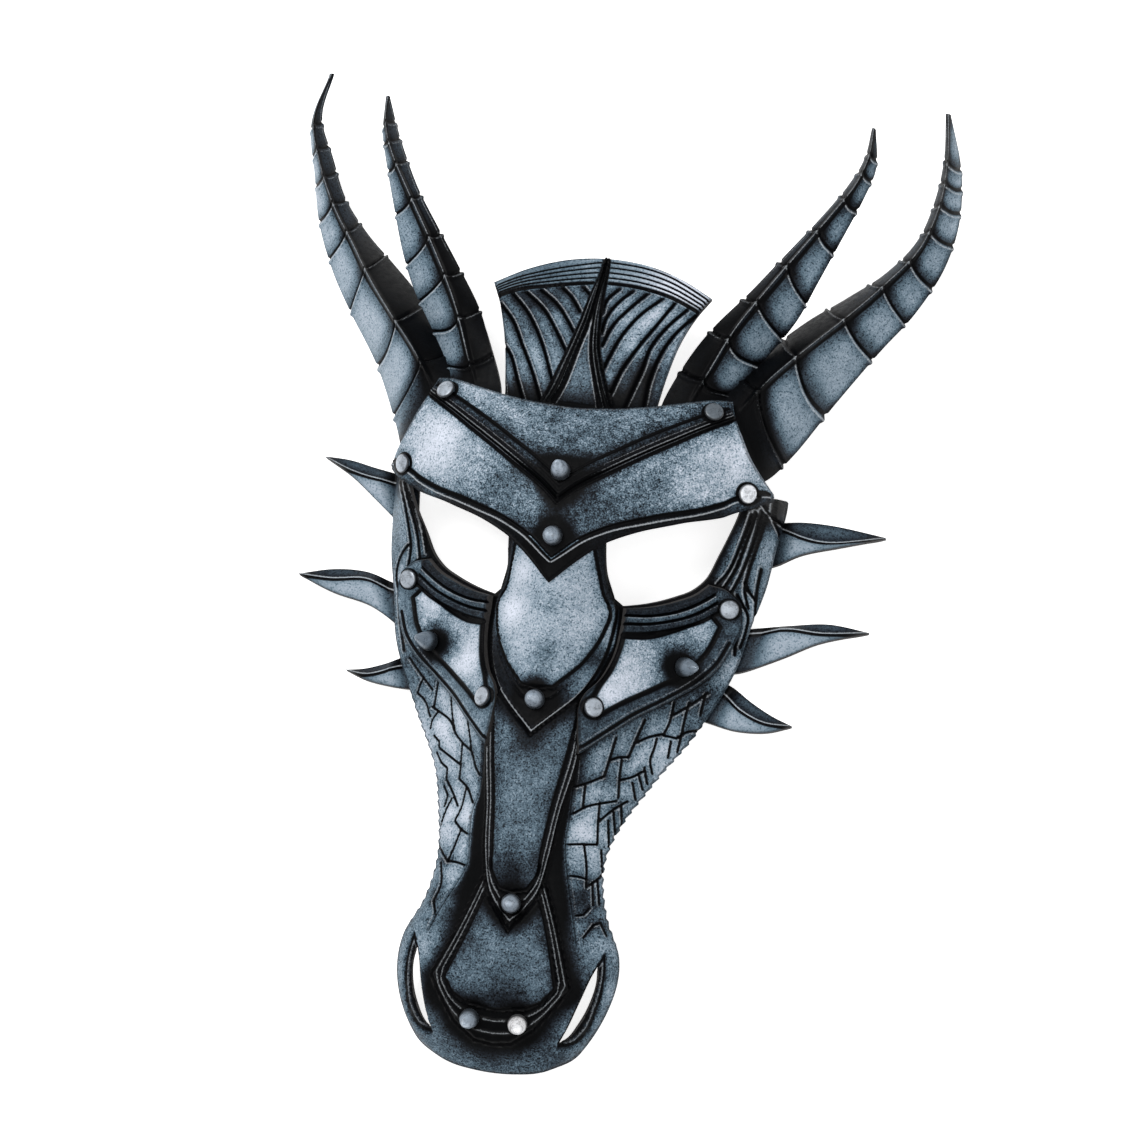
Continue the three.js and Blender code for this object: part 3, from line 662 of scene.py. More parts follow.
# Outlines of the shell and plates: the right half, or the piece on the right-hand side
PLATE_HALF = [
    (0, 103), (17, 104), (35, 107), (50, 111), (62, 114.5), (69, 115.5), (71, 110), (76, 100),
    (81, 89.5), (85, 84), (88.5, 80.5), (88, 76.5), (82, 70.5), (72.5, 64.5), (52, 56.5), (36, 50),
    (27, 45), (18, 39), (8, 30), (0, 20),
]
EYE = [
    (23, 42.5), (24, 29), (27, 20.5), (31, 18.2), (41, 21.8), (52, 26.8), (60, 31.5), (65, 36.5),
    (70, 46), (79, 66), (80, 69.5), (72, 66.5), (52, 58.5), (35, 51.5),
]
CHEEK = [
    (30.5, 17.2), (41, 20.8), (52, 25.8), (60.5, 30.6), (66, 35.6), (74, 34.5), (80, 30), (81.2, 21),
    (78.5, 10), (74, -1), (66.5, -10.5), (54, -20.5), (42, -31), (31.5, -42.5), (20.5, -54),
    (19, -41), (18.6, -33), (20.4, -26.8), (24.8, -20), (28.2, -11), (30, -2), (30.5, 6),
]
NOSTRIL = [
    (45, -141), (46.3, -152), (45, -165), (41.5, -175), (35.5, -181.5), (30, -183.5), (33.5, -176.5),
    (38, -163), (41.5, -150),
]
NOSTRIL_OPEN = [
    (42.8, -146.5), (44, -154), (42.6, -164), (39, -173), (34, -180.4), (30.5, -182.7),
    (33.5, -176.5), (38, -163), (41.5, -150),
]
SHELL_TOP = [(0, 74), (64, 74), (75, 79.5), (88, 79.5), (94.6, 84)]
CHIN = [(37.5, -186), (29, -192), (20, -195.8), (10, -197.5), (0, -198)]
NOSE_PANEL = [(17, 42), (19.5, 30), (21.5, 21), (25, 13), (24, 4), (17.5, -13), (7, -26.5), (0, -28)]
NOSE_BAND = [(23.2, 42), (24, 27), (28, 14.5), (28, 6), (26, -9), (20.5, -24.5), (0, -49.5)]
# The pale strip between the nose panel and the right cheek plate
NOSE_STRIP = [
    (23.5, 17), (28, 21), (30.5, 17), (30.5, 0), (26, -18), (20.4, -27), (9, -38.5), (7, -34),
    (19, -20), (24.5, -4), (26, 12),
]
SNOUT_PANEL = [
    (20, -30), (16.5, -54), (13, -78), (10.8, -101), (10, -111), (6, -118), (0, -119.5),
]
SNOUT_BAND = [(22.5, -30), (20.5, -61), (17, -82), (14.5, -106), (12, -118), (0, -137)]
TIP_PANEL = [(11.5, -119), (18, -137), (25.5, -159.5), (20.5, -166), (14, -169.5), (0, -171.5)]
TIP_BAND = [(14.5, -114), (20.5, -129.5), (32, -159), (26, -168), (18.5, -178), (8.5, -185), (0, -186)]
# The rim, from under the temple's corner to the chin, and the small teeth beside the scales: where
# they start and end, and their length and depth
RIM_TOP = 83.5
RIM_LOW = -185.5
TEETH_START = (-22, -32)
TEETH_END = (-138, -128)
TOOTH = 4.6
TOOTH_DEPTH = 1.1


def rim_line():
    """The mould's right-hand rim, going down."""
    y = np.arange(RIM_TOP, RIM_LOW, -TOOTH / 4)
    toothed = smooth_step(*TEETH_START, y) * smooth_step(*TEETH_END, y)
    tooth = TOOTH_DEPTH * ((y / TOOTH) % 1) - 0.5
    return list(zip(half_width(y) + toothed * tooth, y))


# Scales pressed into the sides of the snout: the lines between them, drawn one by one
RIGHT_SCALES = [
    [(35.5, -42.5), (34, -51.5), (32.5, -60.5)],
    [(46, -31), (43.5, -40), (41, -49.5)],
    [(57, -20.5), (56, -29.5), (54, -36)],
    [(70, -14), (68.5, -23.5)],
    [(21.5, -68.5), (27, -65), (32, -61)],
    [(34, -53), (37.5, -50.5), (41, -49.5)],
    [(43, -42.5), (48.5, -38), (53.5, -35.5)],
    [(56.5, -26.5), (64, -20), (71, -13)],
    [(38.5, -51.5), (38.5, -59.5), (39.5, -69)],
    [(51.5, -38), (51, -42.5), (50, -48.5), (51.5, -54.5)],
    [(63.5, -19), (62.5, -25), (61.5, -34), (60.5, -42)],
    [(25.5, -67), (26, -76.5)],
    [(21.5, -81.5), (28.5, -75.5), (33.5, -73), (39, -70.5)],
    [(39, -60.5), (43.5, -58), (47.5, -54.5)],
    [(54, -36), (59.5, -36), (64.5, -31.5), (69, -30)],
    [(32.5, -73), (33.5, -82), (35, -92)],
    [(33.5, -82), (38, -75.5), (43.5, -69.5)],
    [(21.5, -95), (27.5, -93.5), (35, -92)],
    [(29.5, -94), (31.5, -102), (32.5, -112)],
    [(24.5, -108.5), (28.5, -108), (32.5, -108.5)],
    [(32.5, -112), (35.5, -109), (39.5, -104)],
    [(29.5, -125.5), (32.5, -124.5), (35, -121)],
    [(35, -109.5), (36.5, -119.5)],
    [(37.5, -128.5), (40.5, -126.5), (44, -132)],
    [(37.5, -128.5), (34, -135)],
    [(57.5, -38), (57, -45.5)],
    [(48, -52.5), (50, -59.5)],
    [(46, -56), (48.5, -62.5)],
    [(44, -60.5), (46.5, -68)],
    [(41.5, -72.5), (43.5, -80.5)],
    [(39, -76), (42, -87)],
    [(37.5, -80), (40, -91.5)],
    [(37, -94), (39, -104)],
    [(37, -107.5), (39, -118.5)],
]
RIGHT_SCALES_INNER = [
    (20.5, -53), (21, -70), (21.5, -81.5), (21.5, -95), (24, -109), (28, -125.5), (31.5, -138.5),
]
LEFT_SCALES = [
    [(-72, -10.5), (-65.5, -17.5), (-57.5, -25.5)],
    [(-56.5, -33.5), (-52, -36), (-45, -41), (-41.5, -46.5), (-36.5, -51.5), (-30.5, -56)],
    [(-49.5, -53), (-42.5, -57.5), (-35.5, -62)],
    [(-42, -68.5), (-37.5, -74), (-32.5, -81.5)],
    [(-35, -68.5), (-29, -73.5), (-24.5, -81)],
    [(-32.5, -88.5), (-29, -92), (-24.5, -95)],
    [(-33.5, -107), (-29, -107.5), (-24, -109)],
    [(-30, -56.5), (-26.5, -64), (-22.5, -69)],
    [(-63.5, -20.5), (-66, -26.5), (-61.5, -30), (-57, -38)],
    [(-55, -21), (-55.5, -33.5)],
    [(-46.5, -29.5), (-44.5, -38), (-41.5, -46.5)],
    [(-35, -41), (-32.5, -48.5), (-30.5, -56)],
    [(-53, -36), (-55.5, -39.5), (-56, -43.5)],
    [(-36.5, -52), (-36, -59.5), (-35, -68.5)],
    [(-30, -73.5), (-30.5, -82.5), (-32.5, -88.5)],
    [(-28.5, -92.5), (-30.5, -100), (-33, -107.5)],
    [(-36.5, -78), (-38.5, -84.5), (-39.5, -90)],
    [(-39, -99.5), (-36, -103.5), (-33, -107.5)],
    [(-50.5, -55), (-47, -60), (-43, -63), (-42, -68.5)],
    [(-42.5, -71.5), (-39, -76.5), (-39.5, -81.5)],
    [(-53.5, -47), (-50, -50), (-49.5, -53)],
    [(-36.5, -107.5), (-35, -118), (-37.5, -125.5)],
    [(-37.5, -125.5), (-36, -132.5), (-37.5, -137)],
]
LEFT_SCALES_INNER = [
    (-24, -52.5), (-23, -63), (-23, -77), (-24.5, -83), (-24, -95.5), (-23.5, -109), (-28, -118),
    (-34, -129), (-38, -139.5),
]

# The carved panels down the middle, from the nose to the tip: each panel and the band round it,
# their tones, the cords in the band as their place across it and how light each is, the dark cloud
# round the band as its amount and reach, and the turn that counts as a corner
SHELL_PANELS = [
    {"panel": NOSE_PANEL, "band": NOSE_BAND, "tone": 0.76, "band_tone": 0.12,
     "cords": [(0.3, 0.15), (0.9, 0.6)], "cloud": (0.45, 4.5), "corner": 36},
    {"panel": SNOUT_PANEL, "band": SNOUT_BAND, "tone": 0.5, "band_tone": 0.05,
     "cords": [(0.35, 0.5), (0.72, 0.5)], "cloud": (0.45, 4.5), "corner": 36},
    {"panel": TIP_PANEL, "band": TIP_BAND, "tone": 0.46, "band_tone": 0.02,
     "cords": [(0.32, 0.45), (0.66, 0.45)], "cloud": (0.5, 5.5), "corner": 16},
]

# Folds that fan out over the temples from under the brow
RIGHT_FOLDS = [
    [(83.5, 68), (82, 61.5), (79.5, 53.5), (74.5, 42), (70, 36)],
    [(85, 69.5), (83.5, 61.5), (81.5, 54), (77.5, 43), (73, 35)],
    [(87, 71.5), (85.5, 61), (83.5, 52.5), (80.5, 43), (77, 35), (75, 31)],
    [(88.5, 71), (87, 61), (85.5, 53.5), (83, 43), (82, 36.5), (84, 29)],
    [(91, 82), (90.5, 76), (91, 71), (94, 66)],
    [(87, 74.5), (90, 72), (95, 71.5)],
    [(88, 47.5), (87, 38), (87, 29.5), (88, 22.5)],
    [(82, 39.5), (84, 36), (86.5, 33.5)],
    [(79, 33.5), (81.5, 30), (84, 26), (84, 18.5), (82.5, 10.5)],
    [(79.5, 27), (80, 18), (80.5, 6.5)],
]
LEFT_FOLDS = [
    [(-85.5, 69.5), (-81, 58), (-78.5, 47.5), (-77.5, 40), (-78.5, 33)],
    [(-82, 68), (-78, 57.5), (-74.5, 47.5), (-73, 39), (-72, 32.5)],
    [(-79, 67.5), (-74, 56), (-70.5, 46), (-69, 38.5)],
    [(-77.5, 67), (-72, 56.5), (-67.5, 47), (-64.5, 39.5)],
    [(-79, 41.5), (-82.5, 38.5), (-85, 33.5), (-85, 27), (-82.5, 21)],
    [(-80.5, 22), (-78.5, 10), (-74.5, -2.5)],
    [(-82.5, 19.5), (-79.5, 6.5), (-75.5, -7)],
]

# Washes of paint over the shell, then low on the snout's sides, on the nose's band and the pale
# strip beside it, and on the panels: where, the tone, and how far each reaches
SHELL_WASHES = [
    (45, -55, 0.78, 22), (40, -35, 0.58, 10), (56, -40, 0.96, 9), (48, -50, 0.86, 6),
    (30, -90, 0.94, 14), (32, -72, 0.84, 9), (34, -62, 0.54, 6), (-45, -45, 0.94, 26),
    (-32, -85, 0.98, 18), (-30, -112, 0.8, 9), (38, -110, 0.86, 9), (-39, -146, 0.74, 11),
    (-45, -165, 0.54, 12), (-36, -182, 0.46, 12), (0, -194, 0.46, 14), (28, -190, 0.38, 10),
    (42, -138, 0.64, 8), (49, -156, 0.62, 6), (33, -160, 0.2, 7), (-31, -168, 0.2, 7),
    (85, 25, 0.92, 12), (-83, 25, 0.88, 12), (84, 50, 0.74, 12), (-80, 50, 0.68, 14),
    (90, 57, 0.7, 6), (83, 74, 0.08, 8), (-84, 72, 0.12, 7), (90, 80, 0.06, 8),
    (-90, 80, 0.1, 8), (78, 2, 0.72, 9), (-76, 0, 0.74, 9),
]
SNOUT_SIDE_WASHES = [(-31, -127, 0.46, 6), (31, -118, 0.22, 6)]
NOSE_BAND_WASHES = [(26, 4, 0.72, 10), (20, -20, 0.6, 8), (-26, 2, 0.3, 10)]
NOSE_STRIP_WASHES = [(27, 3, 0.62, 11), (20, -22, 0.5, 9)]
PANEL_WASHES = [
    (-15, 8, 1.05, 8), (-12, 26, 0.98, 6.5), (0, 10, 0.64, 6), (1, -12, 0.56, 7),
    (17, 8, 0.8, 6.5), (12, 25, 0.76, 7), (-9, -8, 0.84, 5), (0, -26, 0.16, 5), (0, 31, 0.5, 6),
    (0, -52, 0.12, 7), (1, -68, 0.55, 9), (0, -112, 0.12, 9), (0, -145, 0.52, 10),
    (0, -166, 0.22, 8), (8, -167, 0.2, 6), (-14, -176, 0.0, 8), (14, -176, 0.0, 8),
    (0, -180, 0.0, 9),
]
NOSTRIL_DEPTH = 2.2


# Face shell
def paint_sides(skin):
    """The lines of the scales and of the temples' folds, and the black that fills the middle
    between the scales' inner edges."""
    for line in RIGHT_SCALES + LEFT_SCALES:
        skin.groove(smooth(line), 0.6, 0.75, light=0.45, shade=0.14, reach=2.6)
    for line in RIGHT_FOLDS + LEFT_FOLDS:
        skin.groove(smooth(line), 0.75, 0.9, light=0.55, shade=0.24, reach=1.7)
    for line, side in ((RIGHT_SCALES_INNER, 1), (LEFT_SCALES_INNER, -1)):
        skin.groove(smooth(line), 0.8, 0.8, light=0.3, side=side)
        top, low = line[0][1], line[-1][1]
        middle = [*line, (0, low), (0, top)]
        share = smooth_step(-1, 3, depth_in(skin.at, middle, 5))
        skin.shade_to(0.1, share * smooth_step(low, low + 18, skin.at[:, 1]))
        skin.clear(middle)
    skin.wash(SNOUT_SIDE_WASHES)


def to_middle(line, ends):
    """The area between a line and the mask's middle, a little past it."""
    PAST = -6
    return [(PAST, ends[0][1]), *line.tolist(), (PAST, ends[-1][1])]


def paint_panel(skin, panel, band, tone, band_tone, cords, cloud, corner):
    """A carved panel with the sunk band and the cords round it."""
    edge, middle = smooth(band, corner=corner), smooth(panel, corner=corner)
    outer, inner = to_middle(edge, band), to_middle(middle, panel)
    skin.brush(edge, *cloud)
    skin.clear(outer, soft=1.2)
    skin.field(outer, tone=band_tone, rise=CARVE, sponge=0.9)
    if band is NOSE_BAND:
        skin.wash(NOSE_BAND_WASHES, within=outer)
    for share, light in cords:
        skin.ridge(between(panel, band, share), width=0.8, height=0.8, light=light)
    skin.field(inner, tone=tone, rise=2.4 * CARVE, sponge=1.0, soft=1.2)
    skin.brush(middle, 0.3 * tone, 3.6, within=inner)
    skin.groove(edge, width=1.0, depth=0.7)
    skin.groove(middle, width=1.0, depth=0.6)


def paint_nostrils(skin):
    for sign in (1, -1):
        slit = [(sign * x, y) for x, y in NOSTRIL]
        share = skin.share_in(slit, soft=0.8)
        skin.rise -= NOSTRIL_DEPTH * share
        # Black over the sunk strip inside the nostril's rim: painted shade of its inward-folded inner
        # wall
        skin.shade_to(0.0, share)
        edge = closed_line(smooth(slit, closed=True))
        # The pale line round the nostril: part paint, part a painted highlight on its rim
        skin.groove(edge, width=0.5, depth=0.0, light=0.4, side=-sign)


def paint_shell(skin):
    skin.wash(SHELL_WASHES)
    paint_sides(skin)
    skin.on_both_sides(True)
    cheek = closed_line(smooth(CHEEK, closed=True))
    # Painted shadow on the shell beside the cheek plates' edges
    skin.brush(cheek, 0.25, 1.9)
    skin.groove(cheek, width=0.9, depth=0)
    skin.brush(closed_line(smooth(EYE, closed=True)), 0.5, 2.6)
    for panel in reversed(SHELL_PANELS):
        paint_panel(skin, **panel)
    skin.on_both_sides(False)
    skin.wash(NOSE_STRIP_WASHES, within=NOSE_STRIP)
    skin.wash(PANEL_WASHES, amount=0.8)
    paint_nostrils(skin)
    skin.seat_caps()
    # Nothing stands up into a cheek plate
    covered = depth_in(folded(skin.full), smooth(CHEEK, closed=True), 3) > -GAP
    skin.rise = np.where(covered, np.minimum(skin.rise, 0), skin.rise)


def face_shell(finishes):
    half = [*SHELL_TOP, *rim_line(), *CHIN]
    cheek_cover = shrunk(CHEEK, 4)
    return leather_sheet(
        "leather_face_shell",
        [both_sides(half), EYE, mirrored(EYE), NOSTRIL_OPEN, mirrored(NOSTRIL_OPEN)],
        mould_face, 0, SHELL_THICK, paint_shell, finishes, pitch=0.7,
        covers=[both_sides(shrunk(PLATE_HALF, 5)), cheek_cover, mirrored(cheek_cover)],
    )


# Forehead plate
V_UPPER = [(67.5, 110.5), (47, 98.5), (25, 84), (9, 73), (0, 66)]
V_LOWER = [(72, 107), (45, 88), (21, 71), (6, 60.5), (0, 55)]
BROW_UPPER = [(86, 79), (61, 64), (41, 56.5), (24, 49), (11, 41), (0, 31)]
FOREHEAD_WASHES = [
    (0, 90, 0.6, 90), (-60, 84, 0.97, 24), (-48, 104, 0.86, 13), (76, 88, 0.98, 20),
    (60, 70, 0.78, 15), (58, 106, 0.62, 12), (-35, 74, 0.68, 13), (-24, 98, 0.62, 14),
    (2, 96, 0.48, 18), (28, 98, 0.52, 12), (15, 55, 0.4, 11), (-23, 60, 0.44, 10),
    (-12, 53, 0.6, 8), (38, 63, 0.58, 12), (27, 64, 0.46, 8), (0, 46, 0.38, 9),
    (84, 86, 0.72, 7),
]
BROW_WASHES = [(-80, 72, 0.5, 10), (-62, 61, 0.36, 8), (80, 72, 0.4, 10)]
# The V band's raised lines: place across it, width, height, how light, and tone
V_LINES = [
    (0.25, 1.8, 0.9, 0, 0.27), (0.45, 0.6, 0.4, 0.38, None), (0.7, 0.8, 0.9, 0.52, None),
    (0.88, 0.6, 0.6, 0.4, None),
]


def paint_v_band(skin):
    upper, lower = smooth(V_UPPER), smooth(V_LOWER)
    band = [*upper.tolist(), (-6, 66), (-6, 55), *lower[::-1].tolist()]
    skin.field(band, tone=0.06, rise=0.2, sponge=1.1)
    for share, width, height, light, tone in V_LINES:
        skin.ridge(between(V_UPPER, V_LOWER, share), width, height, light=light, tone=tone)
    skin.groove(upper, width=1.0, depth=0.6)
    skin.groove(lower, width=0.9, depth=0.6)
    skin.groove(between(V_UPPER, V_LOWER, 0.79), width=0.5, depth=0.3)
    skin.light *= smooth_step(6, 32, np.hypot(skin.at[:, 0], skin.at[:, 1] - 62))
    skin.spot((0, 62), 0.55, 9)


def paint_brow(skin):
    brow = smooth(BROW_UPPER)
    under_brow = [*brow.tolist(), (-6, 31), (-6, 10), (95, 10), (95, 79)]
    skin.field(under_brow, tone=0.09, rise=1.0, sponge=0.7)
    skin.ridge(brow + [0.3, -1.5], width=0.8, height=0.3, light=0.66)
    skin.groove(brow, width=1.05, depth=0.8)
    skin.spot((0, 30), 0.3, 12)
    skin.wash(BROW_WASHES, within=under_brow)


def paint_forehead(skin):
    skin.wash(FOREHEAD_WASHES)
    skin.on_both_sides(True)
    skin.brush(smooth(V_UPPER), 0.3, 4.5)
    skin.brush(smooth(V_LOWER), 0.16, 3)
    skin.brush(smooth(BROW_UPPER), 0.16, 3)
    for place, amount, reach in (((0, 66), 0.4, 9), ((9, 74), 0.25, 8), ((0, 38), 0.35, 8)):
        skin.spot(place, amount, reach)
    paint_v_band(skin)
    paint_brow(skin)
    top_edge = smooth(PLATE_HALF[:6])
    skin.brush(top_edge, 0.12, 3)
    # A pale line along the plate's top edge: part dry-brushed paint, part a painted highlight
    skin.ridge(shifted(top_edge, -0.7), width=0.7, height=0, light=0.55)
    skin.on_both_sides(False)
    skin.seat_caps()


def forehead_plate(finishes):
    return leather_sheet(
        "leather_forehead_plate", [both_sides(PLATE_HALF)], mould_face, PLATE_TOP, PLATE_THICK,
        paint_forehead, finishes, pitch=0.5,
    )


# Cheek plates
EYE_EDGE = [(29, 17.3), (41, 20.8), (57, 28.6), (67, 36)]
CHEEK_FIELD = [
    (31, 3), (41, 5.5), (54, 12.5), (67.5, 23.2), (72.5, 17.5), (68, 4), (60.5, -6), (48.5, -15.5),
    (36, -26.5), (25.5, -36.5), (22.8, -30), (24.6, -23.5), (28, -14.5), (30, -5),
]
# The plate's own tone, the strap's and the field's, and the washes in the field, for the right
# plate and the left one
# The right plate is painted darker than the left: part paint, part painted shade of light from the
# upper left
CHEEK_PAINT = {
    "right": {"plate": 0.36, "strap": 0.4, "field": 0.7, "washes": [
        (30, -24, 0.95, 11), (38, -10, 0.86, 9), (48, 3, 0.6, 8), (60, 8, 0.62, 7),
        (66, 14, 0.74, 5), (47, -10, 0.62, 6),
    ]},
    "left": {"plate": 0.54, "strap": 0.6, "field": 0.76, "washes": [
        (-36, -14, 0.96, 11), (-52, 8, 0.66, 7), (-62, 15, 0.86, 6), (-44, 2, 0.8, 6),
        (-48, -8, 0.56, 6), (-66, 18, 0.9, 4), (-30, -26, 0.76, 6),
    ]},
}
CHEEK_STRAP = [(79, 16), (75, 3), (68, -8.5), (57, -17), (43, -29), (31, -41), (22, -50)]
# How far below the plate's upper edge the ribs' lines start, beside the nose
RIB_DROPS = (0, 4.4, 8.7, 13.8)
# The ribs' tones and how light their upper edges are, from the eye down
RIB_TONES = [(0.2, 0.0), (0.42, 0.5), (0.26, 0.3)]
RIB_GROOVES = (0.85, 0.85, 1.2)


def paint_ribs(skin):
    """The ribs that follow the eye's lower edge, drawing together away from the nose."""
    lines = []
    for drop in RIB_DROPS:
        lines.append([
            (x + drop * 0.12 * i, y - drop * (1 - 0.06 * i)) for i, (x, y) in enumerate(EYE_EDGE)
        ])
    skin.clear([*lines[0], *lines[-1][::-1]], soft=0.4)
    for upper, lower, (tone, light) in zip(lines[:-1], lines[1:], RIB_TONES):
        skin.ridge(between(upper, lower, 0.5), width=2.4, height=1.3, tone=tone)
        if light:
            # Light along the rib's upper edge: part dry-brushed paint, part painted highlight
            skin.ridge(between(upper, lower, 0.26), width=0.7, height=0.1, light=light)
    for line, width in zip(lines[1:], RIB_GROOVES):
        skin.groove(smooth(line), width, depth=0.7)


def paint_cheek(skin):
    paint = CHEEK_PAINT["right" if skin.full[:, 0].mean() > 0 else "left"]
    skin.tone[:] = paint["plate"]
    skin.sponge[:] = 0.55
    skin.on_both_sides(True)
    skin.ridge(smooth(CHEEK_STRAP), width=3.0, height=0.5, tone=paint["strap"])
    border = closed_line(smooth(CHEEK_FIELD, closed=True))
    skin.brush(border, 0.12, 1.6)
    skin.field(CHEEK_FIELD, tone=paint["field"], rise=0.5, sponge=0.85, soft=1.2)
    skin.wash(paint["washes"], within=CHEEK_FIELD)
    skin.brush(border, 0.16, 2.2, within=CHEEK_FIELD)
    skin.spot((54, -5), 0.6, 6)
    skin.groove(border, width=1.3, depth=0.7)
    low_edge = smooth(CHEEK[8:15])
    skin.groove(shifted(low_edge, -2.0), width=0.75, depth=0.5, light=0.35)
    # A pale line inside the plate's lower edge: part dry-brushed paint, part a painted highlight
    skin.ridge(shifted(low_edge, -0.8), width=0.5, height=0.1, light=0.5)
    paint_ribs(skin)
    skin.on_both_sides(False)
    skin.seat_caps()


def cheek_plate(name, outline, finishes):
    return leather_sheet(
        name, [outline], mould_face, PLATE_TOP, PLATE_THICK, paint_cheek, finishes, pitch=0.46,
    )


# Crest
CREST_HALF = [
    (0, 184), (19, 182), (37, 176), (52.5, 167.5), (48.5, 159.5), (42, 141), (38, 122), (36, 108),
    (35, 93), (0, 93),
]
# Up to here the crest lies on the mould under the plate
CREST_FREE_FROM = 108
# Then the heights of its middle, and how much lower it is off the middle
CREST_PROFILE = [(126, 54), (146, 52.5), (166, 47), (186, 39.5)]
CREST_DIP = 0.0016


def crest_height(x, y):
    """The crest follows the mould under the plate, then runs free, falling to its sides and top."""
    x, y = np.broadcast_arrays(np.asarray(x, float), np.asarray(y, float))
    held = [CREST_FREE_FROM - 10, CREST_FREE_FROM]
    places = np.array([*held, *[at for at, _ in CREST_PROFILE]], float)
    heights = [face_height(x, np.full_like(y, at)) - TUCK for at in held]
    heights += [rise - CREST_DIP * x * x for _, rise in CREST_PROFILE]
    free = through(places, np.stack(heights, -1), y)
    return np.where(y <= CREST_FREE_FROM, face_height(x, y) - TUCK, free)


# Grooves between the crest's strands and the cords of its middle, drawn one by one
RIGHT_STRANDS = [
    [(9, 167), (4.5, 160.5), (3.5, 153)],
    [(15.5, 166.5), (10, 159.5), (6, 150.5), (5, 142.5)],
    [(23, 166.5), (16, 157), (10, 147.5), (6.5, 136.5)],
    [(30, 164), (21.5, 154), (15, 142.5), (11, 132), (8.5, 124)],
    [(36.5, 163), (30, 149.5), (24, 138.5), (17.5, 125.5), (13.5, 113.5)],
    [(43, 160.5), (34, 147.5), (29, 137.5), (26.5, 125.5), (23, 114), (20, 103)],
    [(47.5, 158), (39, 145.5), (34, 134.5), (31, 122), (30, 104)],
]
LEFT_STRANDS = [
    [(-8, 166.5), (-3.5, 162)],
    [(-18.5, 166), (-12.5, 160.5), (-7, 153)],
    [(-28.5, 164), (-19.5, 157), (-12, 148), (-8, 142)],
    [(-36, 163), (-24, 152.5), (-15, 140), (-10, 132)],
    [(-42.5, 162), (-32, 151), (-23, 137), (-17.5, 125), (-14, 116)],
    [(-46.5, 155.5), (-38.5, 146.5), (-31.5, 134), (-25, 122), (-18, 106)],
    [(-43, 137), (-36.5, 129), (-31, 116.5), (-25.5, 104)],
    [(-40.5, 121), (-37.5, 115), (-35, 104)],
]
CREST_CORDS = [
    [(-1, 184), (-1.5, 174), (-3.5, 162.5), (-5.5, 148.5), (-8.5, 135.5), (-12.5, 123), (-18, 107)],
    [(0, 183), (-0.3, 172), (-0.8, 160), (-1.5, 148), (-4.5, 133), (-7.5, 119.5), (-12, 107)],
    [(0.5, 183), (0.8, 172), (0.4, 160), (0.6, 145), (2, 132), (5, 121), (9.5, 106)],
    [(1, 183), (2, 174.5), (2.5, 160), (4, 144), (5.5, 134), (8.5, 124.5), (12.5, 114), (17.5, 104)],
]
CREST_BAND_TOP = [
    (-52, 165), (-40.5, 171.5), (-26.5, 177), (-13, 181), (0, 184), (10.5, 183.5), (20.5, 182),
    (31.5, 178.5), (42, 173), (53, 166.5),
]
CREST_BAND_LOW = [
    (-48.5, 159), (-41, 162.5), (-24, 166), (-4.5, 169), (0, 169.5), (3.5, 169.5), (18.5, 168.5),
    (33.5, 165), (49, 158),
]


CREST_WASHES = [
    (0, 150, 0.6, 90), (-28, 158, 0.4, 18), (-38, 138, 0.6, 10), (-24, 128, 0.74, 8),
    (-16, 148, 0.66, 6), (-10, 158, 0.5, 6), (18, 150, 0.82, 9), (30, 153, 0.9, 9),
    (12, 160, 0.82, 5), (22, 138, 0.78, 7), (36, 140, 0.66, 8), (40, 150, 0.88, 6),
    (28, 120, 0.18, 10), (-30, 108, 0.3, 8), (16, 112, 0.14, 7),
]
CREST_BAND_WASHES = [(-30, 172, 0.5, 18), (38, 168, 1.02, 20)]
CREST_BAND_CORDS = 5


def paint_crest_band(skin):
    """The cords that run along the crest's top."""
    area = [*CREST_BAND_LOW, (60, 158), (60, 190), (-60, 190), (-60, 158)]
    skin.clear(area)
    skin.field(area, tone=0.64, rise=0.2, sponge=0.6)
    skin.wash(CREST_BAND_WASHES, within=area)
    step = 1 / CREST_BAND_CORDS
    for n in range(CREST_BAND_CORDS):
        cord = between(CREST_BAND_TOP, CREST_BAND_LOW, step / 2 + step * n)
        skin.ridge(cord, width=1.4, height=0.9)
    for n in range(1, CREST_BAND_CORDS + 1):
        line = between(CREST_BAND_TOP, CREST_BAND_LOW, step * n)
        skin.groove(line, width=0.6 if n < CREST_BAND_CORDS else 0.95, depth=0.5)


def paint_crest_middle(skin):
    """The two double cords that part below the top, and the leather tongue between them."""
    far_left, left, right, far_right = CREST_CORDS
    tongue = [*left[3:], *right[3:][::-1]]
    middle = [*far_left, *far_right[::-1]]
    skin.clear(middle, soft=0.5)
    skin.field(middle, tone=0.05, rise=0.6, sponge=0.6)
    skin.field(tongue, tone=0.5, rise=0.3, sponge=1.0)
    skin.brush(smooth(left[3:]), 0.16, 2.2)
    skin.brush(smooth(right[3:]), 0.16, 2.2)
    for first, second in ((far_left, left), (right, far_right)):
        skin.ridge(between(first, second, 0.3), width=0.9, height=1.1, light=0.42)
        skin.ridge(between(first, second, 0.72), width=0.8, height=1.0, light=0.3)
    for line, light, side in ((far_left, 0, -1), (left, 0.6, 1), (right, 0.5, -1), (far_right, 0, -1)):
        skin.groove(smooth(line), width=0.75, depth=0.5, light=light, side=side)


